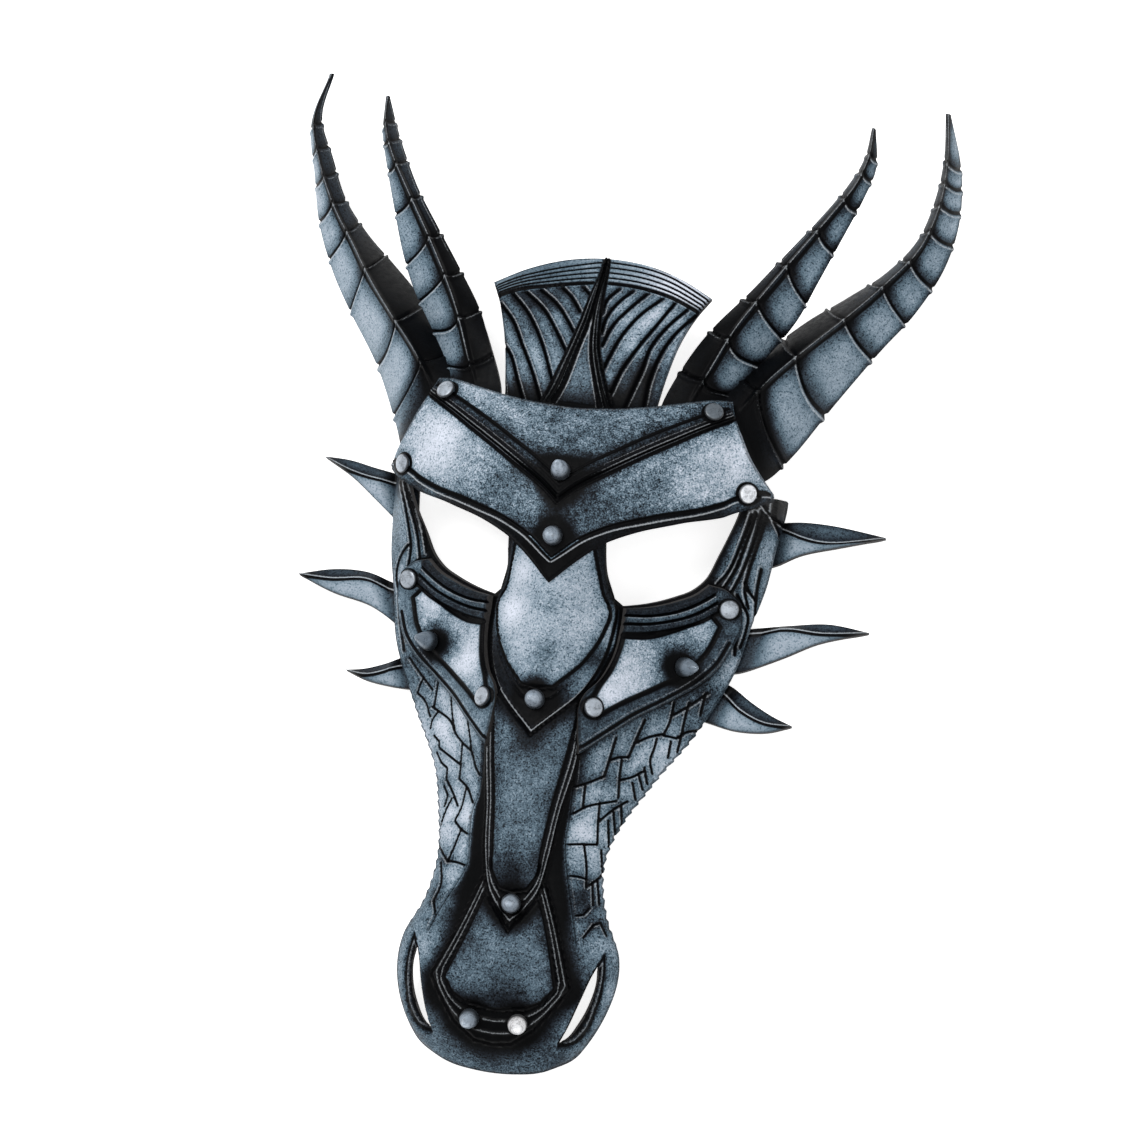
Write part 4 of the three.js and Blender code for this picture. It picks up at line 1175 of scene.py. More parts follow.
def paint_crest(skin):
    skin.wash(CREST_WASHES)
    for line in LEFT_STRANDS:
        skin.groove(smooth(line), 0.8, 1.1, light=0.5, side=1, shade=0.34, reach=2.2)
    for line in RIGHT_STRANDS:
        skin.groove(smooth(line), 1.0, 1.1, light=0.45, side=1, shade=0.34, reach=2.2)
    paint_crest_band(skin)
    paint_crest_middle(skin)
    low = smooth_step(119, 104, skin.at[:, 1])
    skin.tone -= 0.42 * low
    skin.light *= 1 - 0.5 * low


def crest(finishes):
    return leather_sheet(
        "leather_crest", [both_sides(CREST_HALF)], surface(crest_height), 0, CREST_THICK,
        paint_crest, finishes, pitch=0.52,
    )


# Horns, each from its rib, its outer edge and its inner edge; points without a height lie on the
# mould, under the plate
OUTER_HORN = {
    "rib": [(69, 101), (73, 112.5), (85, 130, 43), (100, 148, 39.5), (116, 168, 31.5), (130, 188, 23),
            (143, 207, 21), (151, 226, 31), (153.5, 243, 43), (150.5, 268.5, 38)],
    "outer": [(78, 84.5), (86, 84), (96, 102, 17), (111.5, 131.5, 10), (129, 157.5, 12),
              (142.5, 179, 8), (153.5, 203, 6.5), (158.5, 226, 11), (158.5, 245, 28),
              (151.5, 268.5, 37)],
    "inner": [(64.5, 104), (62.5, 117), (73.5, 141, 31), (93.5, 165, 23), (111, 182.7, 14),
              (127, 198, 10), (140, 214, 13), (147, 231, 22), (151, 246, 38), (149, 269, 37)],
}
INNER_HORN = {
    "rib": [(50, 98), (51, 112), (57.5, 130, 50), (66, 150, 49), (77, 170, 46), (89, 190, 44),
            (101.5, 210, 43), (112, 228, 42.5), (117, 242, 45), (117.8, 255.5, 47)],
    "outer": [(61, 98), (63.5, 112.5), (68.2, 124, 41), (80, 143, 34), (92, 162, 34.5),
              (100, 180, 38), (108, 202, 37), (116, 225, 35.5), (120, 240, 37), (118.8, 255, 46)],
    "inner": [(39, 98), (38.5, 112), (47, 133, 52), (56, 152, 46.5), (70, 173, 41), (84, 193, 40),
              (97, 212, 38.5), (107, 230, 35), (113.5, 244, 36), (116.8, 255.6, 46)],
}
# Where each ring crosses a horn's inner edge, rib and outer edge, counted in the curves' points
RINGS = {
    "outer_horn_right": [
        (1.73, 1.7, 1.76), (2.63, 2.74, 2.78), (3.56, 3.89, 3.85), (4.57, 4.92, 4.75),
        (5.45, 5.7, 5.59), (6.23, 6.46, 6.5), (6.85, 7.03, 7.17), (7.46, 7.54, 7.64), (8, 8, 8.02),
    ],
    "outer_horn_left": [
        (1.7, 1.74, 2.14), (2.78, 2.85, 3), (4.3, 4.28, 3.99), (5.37, 5.34, 5.23),
        (5.98, 6.11, 6.02), (6.7, 6.69, 6.78), (7.32, 7.33, 7.36), (7.88, 7.9, 7.95),
    ],
    "inner_horn_right": [
        (1.78, 1.76, 1.8), (2.92, 2.83, 2.81), (3.82, 3.82, 3.54), (4.8, 4.8, 4.47),
        (5.69, 5.74, 5.73), (6.76, 6.63, 6.69), (7.54, 7.48, 7.52), (8.19, 8.12, 8.21),
    ],
    "inner_horn_left": [
        (1.79, 1.68, 2.04), (2.98, 2.83, 3.02), (3.95, 3.89, 3.76), (4.88, 4.85, 4.69),
        (5.88, 5.8, 5.88), (6.87, 6.74, 6.83), (7.63, 7.43, 7.68), (8.2, 8.1, 8.2),
    ],
}
RIB_RISE = 1.6
# The right horns are painted darker than the left: part paint, part painted shade of light from the
# upper left
HORN_TONES = {
    "outer_horn_right": 0.69, "inner_horn_right": 0.66,
    "outer_horn_left": 0.77, "inner_horn_left": 0.7,
}
# How dark the paint is on the right horns and on the left ones: along the outer edge and how far in
# from it, just past each ring, just before it and at the root; and where the inner face grows paler
# The right horns' darker paint is partly painted shade of light from the upper left
HORN_DARK = {
    1: {"edge": 0.34, "reach": 2.6, "past": 0.4, "before": 0.2, "root": 0.7, "paler": (3.0, 5.5)},
    -1: {"edge": 0.06, "reach": 3.5, "past": 0.28, "before": 0.1, "root": 0.6, "paler": (4.2, 6.0)},
}


def unit(vectors):
    return vectors / np.maximum(np.linalg.norm(vectors, axis=-1, keepdims=True), 1e-9)


def spline(points, at):
    """A smooth curve through points, one for each whole number; also its direction."""
    points = np.array(points, float)
    held = np.vstack([2 * points[0] - points[1], points, 2 * points[-1] - points[-2]])
    k = np.clip(np.floor(at).astype(int), 0, len(points) - 2)
    t = (at - k)[:, None]
    a, b, c, d = (held[k + n] for n in range(4))
    leave, arrive = (c - a) / 2, (d - b) / 2
    way = (c - b) * 6 * t * (1 - t) + leave * (1 - t) * (1 - 3 * t) + arrive * t * (3 * t - 2)
    return bend(b, leave, c, arrive, t), way / np.linalg.norm(way, axis=1, keepdims=True)


def horn_curve(points, at):
    """A spline through a horn's points, those without a height on the mould."""
    placed = [(p[0], p[1], p[2] if len(p) > 2 else float(face_height(*p)) - TUCK) for p in points]
    return spline(placed, at)


# A fold's two faces, on either side of its rib, each with its own columns of points
def columns_across(flap, blade):
    """Places across a fold: from -1 at the flap's edge, over 0 at the rib, to 1 at the blade's."""
    return np.concatenate([-np.linspace(1, 0, flap)[:-1], np.linspace(0, 1, blade)])


def by_face(across, flap, blade):
    """A value for each row, taken from the flap's or the blade's."""
    sides = across < 0
    if flap.ndim > 1:
        sides = sides[..., None]
    return np.where(sides, flap[:, None], blade[:, None])


def face_width(across, rib, flap_edge, blade_edge):
    return by_face(
        across, np.linalg.norm(flap_edge - rib, axis=1), np.linalg.norm(blade_edge - rib, axis=1)
    )


def spread_across(across, rib, flap_edge, blade_edge):
    """Points over both of a fold's faces, as if they were flat."""
    way = by_face(across, flap_edge - rib, blade_edge - rib)
    return rib[:, None] + way * np.abs(across)[..., None]


def ring_gaps(rings, up, across, scale):
    """How far each place lies past the last ring and before the next one. The rings bow towards
    the root."""
    FAR = 60.0
    past_ring = np.full(up.shape, FAR)
    before_ring = np.full(up.shape, FAR)
    for n, (at_inner, at_rib, at_outer) in enumerate(rings):
        bow = np.where(across < 0, 0.05, 0.16 if n < 2 else 0.08)
        bow = bow * np.sin(math.pi * np.abs(across) ** 0.8)
        lean = np.where(across < 0, at_inner, at_outer) - at_rib
        past = (up - (at_rib + lean * np.abs(across) - bow)) * scale
        past_ring = np.where(past >= 0, np.minimum(past_ring, past), past_ring)
        before_ring = np.where(past < 0, np.minimum(before_ring, -past), before_ring)
    return past_ring, before_ring


def paint_horn(node, side, up, across, width, taper, gaps, shown):
    """Paint: black along the rib and the rings, paler between them, and a black inner face."""
    past, before = gaps
    dark = HORN_DARK[side]
    outer_face = across >= 0
    share = np.abs(across)
    off = share * width
    edge = width * (1 - share)
    signed = np.where(outer_face, off, -off)
    narrow = np.clip(taper * 1.3, 0.45, 1)

    ink = np.clip(drawn(np.minimum(past, before), np.where(outer_face, 0.85, 0.65)), 0, 1) * shown
    for line in (2.0, -2.0):
        ink = np.maximum(ink, drawn(np.abs(signed - line * narrow), narrow))
    # Light on the rings' lips, the rib and the inner face's edge: part paint, part painted highlight
    lip = np.where(outer_face, 0.7, 0.4) * (1 - np.abs(before - 1.5) / 0.7)
    light = np.maximum(np.clip(lip, 0, 1) * shown, 0.5 * (1 - np.abs(signed) / 0.6))
    streak = 0.45 * (1 - np.abs(edge - 1.6) / 0.6) * smooth_step(3.2, 5, up)
    light = np.where(outer_face, light, np.maximum(light, streak)) * smooth_step(1.1, 2.2, up)

    outer_tone = HORN_TONES[node] - 0.42 * fade(off, 6.0 * narrow)
    outer_tone -= dark["edge"] * fade(edge, dark["reach"])
    outer_tone -= dark["past"] * fade(past, np.clip(0.22 * (past + before), 1.6, 5))
    outer_tone -= dark["before"] * fade(before, 3.5)
    # Black at the root, by the forehead plate's edge: part airbrush, part painted shadow of the plate
    outer_tone -= dark["root"] * smooth_step(2.1, 1.15, up)
    outer_tone += 0.12 * smooth_step(5.5, 7.5, up) * smooth_step(0.35, 0.9, share)
    inner_tone = 0.03 + 0.25 * smooth_step(*dark["paler"], up) - 0.12 * fade(past, 3)
    inner_tone -= 0.1 * fade(off, 3)
    return {
        "tone": np.where(outer_face, outer_tone, inner_tone),
        "sponge": np.where(outer_face, 0.85, 0.7), "ink": ink, "light": light, "edge": edge,
    }


def horn(node, shape, rings, side, finishes):
    ROW = 0.62
    INNER_COLUMNS = 26
    OUTER_COLUMNS = 62
    FINE = 900
    last = len(shape["rib"]) - 1
    fine = np.linspace(0, last, FINE)
    length = length_along(horn_curve(shape["rib"], fine)[0])
    along = np.linspace(0, length[-1], int(length[-1] / ROW))
    u = np.interp(along, length, fine)
    rib, way = horn_curve(shape["rib"], u)
    outer, _ = horn_curve(shape["outer"], u)
    inner, _ = horn_curve(shape["inner"], u)
    face_out = unit(np.cross(outer - rib, way))
    face_in = unit(np.cross(rib - inner, way))
    at_rib = unit(face_out + face_in)
    taper = np.minimum(1, 1.35 * (1 - u / (last + 1.2)))[:, None]
    free = np.clip((u - 1) / 0.6, 0, 1)[:, None]

    columns = columns_across(INNER_COLUMNS, OUTER_COLUMNS)
    up, across = np.meshgrid(u, columns, indexing="ij")
    share = np.abs(across)
    width = face_width(across, rib, inner, outer)
    blend = smooth_step(0, 0.25, share)[..., None]
    normal = unit(by_face(across, face_in, face_out) * blend + at_rib[:, None] * (1 - blend))
    flat = spread_across(across, rib, inner, outer)
    dome = 0.05 * width * 4 * share * (1 - share) * free
    ridge = RIB_RISE * taper * bump(share * width / 1.7) * free

    # Rings: pressed lines with a lip on the root's side
    gaps = ring_gaps(rings, up, across, np.gradient(along, u)[:, None] * 0.9)
    scale = 0.35 + 0.65 * taper
    groove = -1.0 * bump(np.minimum(*gaps)) * free * scale
    lip = 0.7 * bump((gaps[1] - 1.6) / 1.5) * free * scale
    points = flat + normal * (dome + ridge + groove + lip)[..., None]
    sideways = by_face(across, unit(inner - rib), unit(outer - rib))
    at_edge = smooth_step(0.8, 1, share)
    points = points + sideways * ((groove * 0.5 + lip * 0.9) * at_edge)[..., None]

    # The back has fewer columns, and lies a little inside the edges
    keep = np.unique(np.concatenate([
        np.linspace(0, INNER_COLUMNS - 1, 5).astype(int),
        np.linspace(INNER_COLUMNS - 1, len(columns) - 1, 8).astype(int),
    ]))
    thick = (HORN_THICK * np.maximum(taper, 0.45) * np.ones(len(keep)))[..., None]
    back = (flat + normal * (dome + ridge)[..., None])[:, keep] - normal[:, keep] * thick
    back = back - sideways[:, keep] * (0.2 * at_edge[:, keep])[..., None]
    painted = paint_horn(node, side, up, across, width, taper, gaps, free)
    return leather_leaf("leather_" + node, side, tucked(points), tucked(back), painted, finishes)


def tucked(grid):
    """Points that lie over the forehead plate's area are pushed down under it."""
    CLEAR = 0.1
    flat = grid.reshape(-1, 3).copy()
    order = upward_order(flat)
    covered = np.empty(len(flat), bool)
    covered[order] = depth_in(flat[order][:, :2], PLATE_HALF, 2) > -GAP
    covered &= flat[:, 0] > 0
    ceiling = face_height(flat[:, 0], flat[:, 1]) - CLEAR
    flat[:, 2] = np.where(covered, np.minimum(flat[:, 2], ceiling), flat[:, 2])
    return flat.reshape(grid.shape)


# Spikes: leaf shapes folded along a rib, from inside the shell's rim to the tip
SPIKES = [
    {
        "right": {
            "upper": [(84, 73), (92, 74), (104, 75), (120, 74), (143.4, 70.4)],
            "rib": [(84, 71), (92, 71.5), (103, 67), (118, 65.5), (143.4, 70.4)],
            "lower": [(80, 50), (91.5, 53), (104, 59.5), (121, 64.3), (143.4, 70.4)],
        },
        "left": {
            "upper": [(84, 79), (94, 81), (106, 83), (119, 85.5), (132, 86)],
            "rib": [(84, 76), (94, 76.5), (105, 77.2), (117, 80), (132, 86)],
            "lower": [(80, 50), (88.5, 55.5), (102.5, 66.5), (117, 77.6), (132, 86)],
        },
    },
    {
        "right": {
            "upper": [(77, 19), (88, 21.3), (104, 24), (122, 26), (141.8, 23.5)],
            "rib": [(77, 17), (88, 19), (104, 21.5), (120, 21), (141.8, 23.5)],
            "lower": [(77, -1.5), (85, 0.5), (102, 8.4), (119, 17), (141.8, 23.5)],
        },
        "left": {
            "upper": [(76, 24), (87, 26.5), (101, 30.5), (117, 30), (134, 25.8)],
            "rib": [(76, 21), (87, 23), (101, 26.5), (117, 25), (134, 25.8)],
            "lower": [(73, -2), (82, 6), (97, 14.5), (116, 19), (134, 25.8)],
        },
    },
    {
        "right": {
            "upper": [(69, -5), (79.5, -7), (90.5, -14), (101, -19.7), (111.4, -23.8)],
            "rib": [(67, -8), (77, -11), (86, -18.5), (98, -23.5), (111.4, -23.8)],
            "lower": [(62, -23), (72.5, -25.5), (85, -28), (99, -27.6), (111.4, -23.8)],
        },
        "left": {
            "upper": [(66, -6), (76, -8.4), (85, -13), (94, -16.5), (103.2, -18.3)],
            "rib": [(65, -10), (75, -12), (84, -17), (93, -19.5), (103.2, -18.3)],
            "lower": [(62, -23), (71.5, -23.6), (82, -23.3), (93, -21.8), (103.2, -18.3)],
        },
    },
]
SPIKE_FREE_FROM = 0.3
SPIKE_FOLD = 5
SPIKE_TIP_UP = 3
SPIKE_CLEAR = 8
# The groove that runs along the rib on the blade
SPIKE_GROOVE = 0.9


def under_rim(low, high):
    """Lowest height of the shell's rim over a stretch of Y."""
    y = np.arange(low, high + 1, 1.0)
    points, normals = mould_face(np.stack([half_width(y), y], -1))
    return float((points - normals * SHELL_THICK)[:, 2].min())


def paint_spike(across, width, share):
    """Paler on the blade, darker at the root and along the rib, with a light line on the rib."""
    blade = across > 0
    off = np.abs(across) * width
    edge = width * (1 - np.abs(across))
    # Darker at the root, where it comes out from under the shell's rim: part paint, part painted shade
    at_root = smooth_step(0.45, 0.22, share)[:, None]
    tone = np.where(across < 0, 0.42, 0.78) - 0.5 * at_root - 0.22 * fade(off, 2.6)
    return {
        "tone": tone - 0.12 * fade(edge, 1.5), "sponge": np.full(across.shape, 0.7),
        "ink": np.clip(drawn(np.abs(off - SPIKE_GROOVE), 0.8), 0, 1) * blade,
        # The light line on the rib: part dry-brushed paint, part a painted highlight on the fold
        "light": 0.7 * np.clip(1 - off / 0.8, 0, 1), "edge": edge,
    }


def spike(name, shape, side, finishes):
    ROWS = 130
    FLAP_COLUMNS = 12
    BLADE_COLUMNS = 34
    TIP = 0.985
    root = (shape["lower"][0][1], shape["upper"][0][1])
    top = under_rim(root[0] - SPIKE_CLEAR, root[1] + SPIKE_CLEAR) - GAP
    share = np.linspace(0, TIP, ROWS)
    u = share * (len(shape["rib"]) - 1)
    above, rib, below = (spline(shape[key], u)[0] for key in ("upper", "rib", "lower"))
    free = np.clip((share - SPIKE_FREE_FROM) / (1 - SPIKE_FREE_FROM), 0, 1)[:, None]
    fold = SPIKE_FOLD * np.minimum(free * 5, 1) * (1 - 0.7 * free)
    columns = columns_across(FLAP_COLUMNS, BLADE_COLUMNS)
    across = np.broadcast_to(columns, (ROWS, len(columns)))
    off = np.abs(across)
    width = face_width(across, rib, above, below)
    high = np.where(across < 0, 1 - off, 1 - 0.6 * off**1.6 - 0.4 * off**5)
    rise = top + SPIKE_TIP_UP * free + fold * high
    pressed = 0.4 * bump((off * width - SPIKE_GROOVE) / 0.8) * (across > 0)
    rise = rise - pressed * smooth_step(0.02, 0.15, free)
    upper = np.concatenate([spread_across(across, rib, above, below), rise[..., None]], 2)
    keep = [0, FLAP_COLUMNS // 2, FLAP_COLUMNS - 1, FLAP_COLUMNS + 8, FLAP_COLUMNS + 20, -1]
    lower = upper[:, keep] - [0, 0, SPIKE_THICK]
    return leather_leaf(name, side, upper, lower, paint_spike(across, width, share), finishes)


# Rivets and studs: where each is, how far its foot is over the mould, its kind, and whether there
# is one on each side
FASTENERS = [
    ("forehead_rivet_upper", 62, 107, PLATE_TOP + 1.2, "rivet", True),
    ("forehead_rivet_lower", 79.5, 75.5, PLATE_TOP, "rivet", True),
    ("cheek_rivet_outer", 75.3, 26.5, PLATE_TOP, "rivet", True),
    ("cheek_rivet_inner", 23.5, -32.8, PLATE_TOP + 0.6, "rivet", True),
    ("cheek_stud", 58, -4.2, PLATE_TOP + 1.2, "stud", True),
    ("nose_tip_stud", 11, -176, CARVE, "stud", True),
    ("forehead_stud", 0, 69, PLATE_TOP + 1.2, "stud", False),
    ("brow_stud", 0, 41, PLATE_TOP, "stud", False),
    ("nose_stud", 0, -33, CARVE, "stud", False),
    ("snout_stud", 0, -124.5, CARVE, "stud", False),
]
STUD_PROFILE = [
    (0, 0), (0.93, 0), (0.99, 0.03), (1, 0.08), (0.98, 0.16), (0.93, 0.26), (0.85, 0.36),
    (0.7, 0.53), (0.54, 0.7), (0.38, 0.84), (0.24, 0.93), (0.12, 0.985), (0, 1),
]
RIVET_PROFILE = [
    (0, 0), (0.95, 0), (1, 0.15), (1, 0.35), (0.96, 0.55), (0.88, 0.7), (0.7, 0.83), (0.45, 0.93),
    (0.2, 0.99), (0, 1),
]
CAP_SIZES = {"stud": (4.6, 12), "rivet": (4.5, 1.9)}
# How wide the black line round each kind's foot is, and how dark and wide the cloud round it
# Line: part paint, part painted contact shadow. Cloud: painted shadow round rivets, airbrushed round
# studs
CAP_LINE = {"stud": 1.3, "rivet": 1.0}
CAP_CLOUD = {"stud": (0.42, 5.0), "rivet": (0.1, 2.5)}
# The right cheek's stud has been pushed over outwards
PUSHED_OVER = {"cheek_stud_right": (0.55, -0.12)}
# How far a pushed-over cap sinks, so that its foot still touches the leather all round
PUSHED_IN = 1.2


def turned_cap(profile):
    """A profile turned about Z, from its foot's middle to its top: the points and triangles."""
    SIDES = 48
    angle = np.arange(SIDES) * 2 * math.pi / SIDES
    inner = profile[1:-1]
    rings = np.stack([
        inner[:, :1] * np.cos(angle), inner[:, :1] * np.sin(angle),
        np.repeat(inner[:, 1:], SIDES, 1),
    ], -1).reshape(-1, 3)
    points = np.vstack([rings, [[0, 0, 0], [0, 0, profile[-1][1]]]])
    foot, top = len(points) - 2, len(points) - 1
    last_ring = (len(inner) - 1) * SIDES
    faces = []
    for j in range(SIDES):
        k = (j + 1) % SIDES
        faces.append((foot, k, j))
        faces.append((top, last_ring + j, last_ring + k))
        for ring in range(0, last_ring, SIDES):
            a, b = ring + j, ring + k
            faces += [(a, b, b + SIDES), (a, b + SIDES, a + SIDES)]
    return points, np.array(faces)


def fastener(name, x, y, seat, kind, finishes):
    radius, rise = CAP_SIZES[kind]
    profile = smooth(STUD_PROFILE if kind == "stud" else RIVET_PROFILE, 0.05, corner=60)
    local, faces = turned_cap(profile * [radius, rise])
    base, normal = mould_face(np.array([[x, y]], float))
    axis = normal[0] + [*PUSHED_OVER.get(name, (0, 0)), 0]
    turn = Vector((0, 0, 1)).rotation_difference(Vector(axis)).to_matrix()
    sunk = PUSHED_IN if name in PUSHED_OVER else 0
    points = local @ np.array(turn).T + base[0] + normal[0] * (seat + GAP - sunk)
    edge = radius - np.hypot(local[:, 0], local[:, 1])
    backs = np.zeros(len(faces))
    return mesh_object("painted_" + name, points, faces, {"edge": edge}, backs, finishes)


# Shader nodes
def math_node(tree, operation, *values):
    """A Math node whose inputs are sockets or numbers; returns its output."""
    node = tree.nodes.new("ShaderNodeMath")
    node.operation = operation
    for slot, value in zip(node.inputs, values):
        if isinstance(value, (int, float)):
            slot.default_value = value
        else:
            tree.links.new(value, slot)
    return node.outputs[0]


def swing(tree, texture, strength):
    """A texture as a number that swings about 0."""
    return math_node(tree, "MULTIPLY", math_node(tree, "SUBTRACT", texture, 0.5), strength)


def mixture(tree, first, second, share):
    """The sum of a share of the first value and the rest of the second."""
    part = math_node(tree, "MULTIPLY", first, share)
    rest = math_node(tree, "MULTIPLY", second, 1 - share)
    return math_node(tree, "ADD", part, rest)


def noise(tree, where, scale, detail, rough=0.5):
    """Noise that runs from about 0 to 1; scale is in features per metre."""
    node = tree.nodes.new("ShaderNodeTexNoise")
    node.inputs["Scale"].default_value = scale
    node.inputs["Detail"].default_value = detail
    node.inputs["Roughness"].default_value = rough
    tree.links.new(where, node.inputs["Vector"])
    return node.outputs["Fac"]


def ramp(tree, value, stops):
    """A colour ramp from a value."""
    node = tree.nodes.new("ShaderNodeValToRGB")
    elements = node.color_ramp.elements
    while len(elements) < len(stops):
        elements.new(0.5)
    for element, (place, colour) in zip(elements, stops):
        element.position = place
        element.color = (*colour, 1)
    tree.links.new(value, node.inputs[0])
    return node.outputs["Color"]


def span(tree, value, low, high, out_low=0.0, out_high=1.0):
    """Maps a value smoothly from one span to another, held at the ends."""
    node = tree.nodes.new("ShaderNodeMapRange")
    node.interpolation_type = "SMOOTHSTEP"
    node.clamp = True
    for slot, number in zip(node.inputs[1:5], (low, high, out_low, out_high)):
        slot.default_value = number
    tree.links.new(value, node.inputs[0])
    return node.outputs[0]


def mix(tree, share, first, second):
    """A plain colour over another one by a share."""
    node = tree.nodes.new("ShaderNodeMix")
    node.data_type = "RGBA"
    under, over = [slot for slot in node.inputs if slot.type == "RGBA"]
    tree.links.new(share, node.inputs[0])
    tree.links.new(first, under)
    over.default_value = (*second, 1)
    return [slot for slot in node.outputs if slot.type == "RGBA"][0]


def number_on_skin(tree, name):
    node = tree.nodes.new("ShaderNodeAttribute")
    node.attribute_name = name
    return node.outputs["Fac"]


def places_on(tree):
    return tree.nodes.new("ShaderNodeTexCoord").outputs["Object"]


def new_material(name):
    """A material, its nodes and its shader."""
    material = bpy.data.materials.new(name)
    material.use_nodes = True
    return material, material.node_tree, material.node_tree.nodes["Principled BSDF"]


def relief(tree, shader, height, strength, distance):
    """Fine bumps on a surface, from a height."""
    node = tree.nodes.new("ShaderNodeBump")
    node.inputs["Strength"].default_value = strength
    node.inputs["Distance"].default_value = distance
    tree.links.new(height, node.inputs["Height"])
    tree.links.new(node.outputs["Normal"], shader.inputs["Normal"])


# The paint, from black to white
PAINT_STOPS = [
    (0.0, (0.0012, 0.0014, 0.0018)), (0.12, (0.0045, 0.0055, 0.0075)), (0.25, (0.014, 0.019, 0.026)),
    (0.38, (0.038, 0.056, 0.074)), (0.5, (0.08, 0.122, 0.158)), (0.62, (0.15, 0.208, 0.258)),
    (0.75, (0.285, 0.35, 0.415)), (0.88, (0.46, 0.51, 0.585)), (1.0, (0.64, 0.68, 0.77)),
]
INK_COLOUR = (0.0012, 0.0013, 0.0017)
# Colour of the light lines: part dry-brushed paint, part painted highlights
LIGHT_LINE_COLOUR = (0.56, 0.6, 0.64)
CUT_EDGE_COLOUR = (0.004, 0.004, 0.005)
DYE_STOPS = [
    (0.3, (0.012, 0.011, 0.011)), (0.5, (0.028, 0.026, 0.026)), (0.75, (0.06, 0.057, 0.056)),
]
# Black round a cap's foot: part paint, part painted contact shadow
CAP_FOOT_COLOUR = (0.006, 0.007, 0.009)
# The marks of the sponge and the airbrush, in features per metre
BLOTCHES = 75
SPONGE_MARKS = 380
SPECKS = 1400
PITS = 1150
GRAIN = 2100
# How far each mark swings the tone
BLOTCH_SWING = 0.6
SPONGE_SWING = 0.65
SPECK_SWING = 0.95
PIT_DEPTH = 0.2


def sponged_paint():
    """Paint sponged and airbrushed over leather, with black in its pressed lines."""
    group = bpy.data.node_groups.new("sponged_paint", "ShaderNodeTree")
    mottle = group.interface.new_socket("Mottle", in_out="INPUT", socket_type="NodeSocketFloat")
    mottle.default_value = 1.0
    for name, kind in (("Color", "NodeSocketColor"), ("Roughness", "NodeSocketFloat"),
                       ("Height", "NodeSocketFloat")):
        group.interface.new_socket(name, in_out="OUTPUT", socket_type=kind)
    source = group.nodes.new("NodeGroupInput")
    result = group.nodes.new("NodeGroupOutput")
    where = places_on(group)
    blotch = noise(group, where, BLOTCHES, 3, 0.6)
    sponge = noise(group, where, SPONGE_MARKS, 3, 0.65)
    speck = noise(group, where, SPECKS, 1, 0.6)
    pits = span(group, noise(group, where, PITS, 0.0), 0.6, 0.7)

    # The tone, mottled most in the middle greys and least in black and white
    amount = math_node(group, "MULTIPLY", number_on_skin(group, "sponge"), source.outputs["Mottle"])
    spread = swing(group, blotch, BLOTCH_SWING)
    for texture, strength in ((sponge, SPONGE_SWING), (speck, SPECK_SWING)):
        spread = math_node(group, "ADD", spread, swing(group, texture, strength))
    base = number_on_skin(group, "tone")
    for low, high, out_low, out_high in ((0.6, 1.0, 1.0, 0.3), (0.0, 0.4, 0.3, 1.0)):
        amount = math_node(group, "MULTIPLY", amount, span(group, base, low, high, out_low, out_high))
    tone = math_node(group, "ADD", base, math_node(group, "MULTIPLY", spread, amount))
    deep = math_node(group, "MULTIPLY", pits, PIT_DEPTH)
    pitted = math_node(group, "MULTIPLY", deep, number_on_skin(group, "sponge"))
    colour = ramp(group, math_node(group, "SUBTRACT", tone, pitted), PAINT_STOPS)

    # Ragged light lines, part paint and part painted highlight, and ragged ink; then the dark cut edge
    ragged = swing(group, speck, 0.5)
    light = math_node(group, "ADD", number_on_skin(group, "light"), ragged)
    colour = mix(group, span(group, light, 0.15, 0.8, 0, 0.72), colour, LIGHT_LINE_COLOUR)
    ink_line = number_on_skin(group, "ink")
    ink = math_node(group, "ADD", ink_line, math_node(group, "MULTIPLY", ragged, 0.3))
    colour = mix(group, span(group, ink, 0.25, 0.6), colour, INK_COLOUR)
    rim = span(group, number_on_skin(group, "edge"), 0.7, 0.15)
    colour = mix(group, math_node(group, "MULTIPLY", rim, 0.6), colour, CUT_EDGE_COLOUR)
    group.links.new(colour, result.inputs["Color"])
    group.links.new(span(group, sponge, 0.3, 0.7, 0.38, 0.56), result.inputs["Roughness"])
    grain = noise(group, where, GRAIN, 2, 0.6)
    group.links.new(mixture(group, grain, sponge, 0.5), result.inputs["Height"])
    return group


def painted_leather(name, paint, mottle):
    material, tree, shader = new_material(name)
    colouring = tree.nodes.new("ShaderNodeGroup")
    colouring.node_tree = paint
    colouring.inputs["Mottle"].default_value = mottle
    tree.links.new(colouring.outputs["Color"], shader.inputs["Base Color"])
    tree.links.new(colouring.outputs["Roughness"], shader.inputs["Roughness"])
    relief(tree, shader, colouring.outputs["Height"], 0.35, 0.0004)
    shader.inputs["Specular IOR Level"].default_value = 0.055
    return material


def dyed_back(name):
    """The leather's dark dyed back and cut edges, with a short nap."""
    material, tree, shader = new_material(name)
    where = places_on(tree)
    nap = noise(tree, where, 900, 4, 0.7)
    patches = noise(tree, where, 60, 3)
    colour = ramp(tree, mixture(tree, nap, patches, 0.6), DYE_STOPS)
    tree.links.new(colour, shader.inputs["Base Color"])
    shader.inputs["Roughness"].default_value = 0.85
    relief(tree, shader, nap, 0.5, 0.0005)
    return material


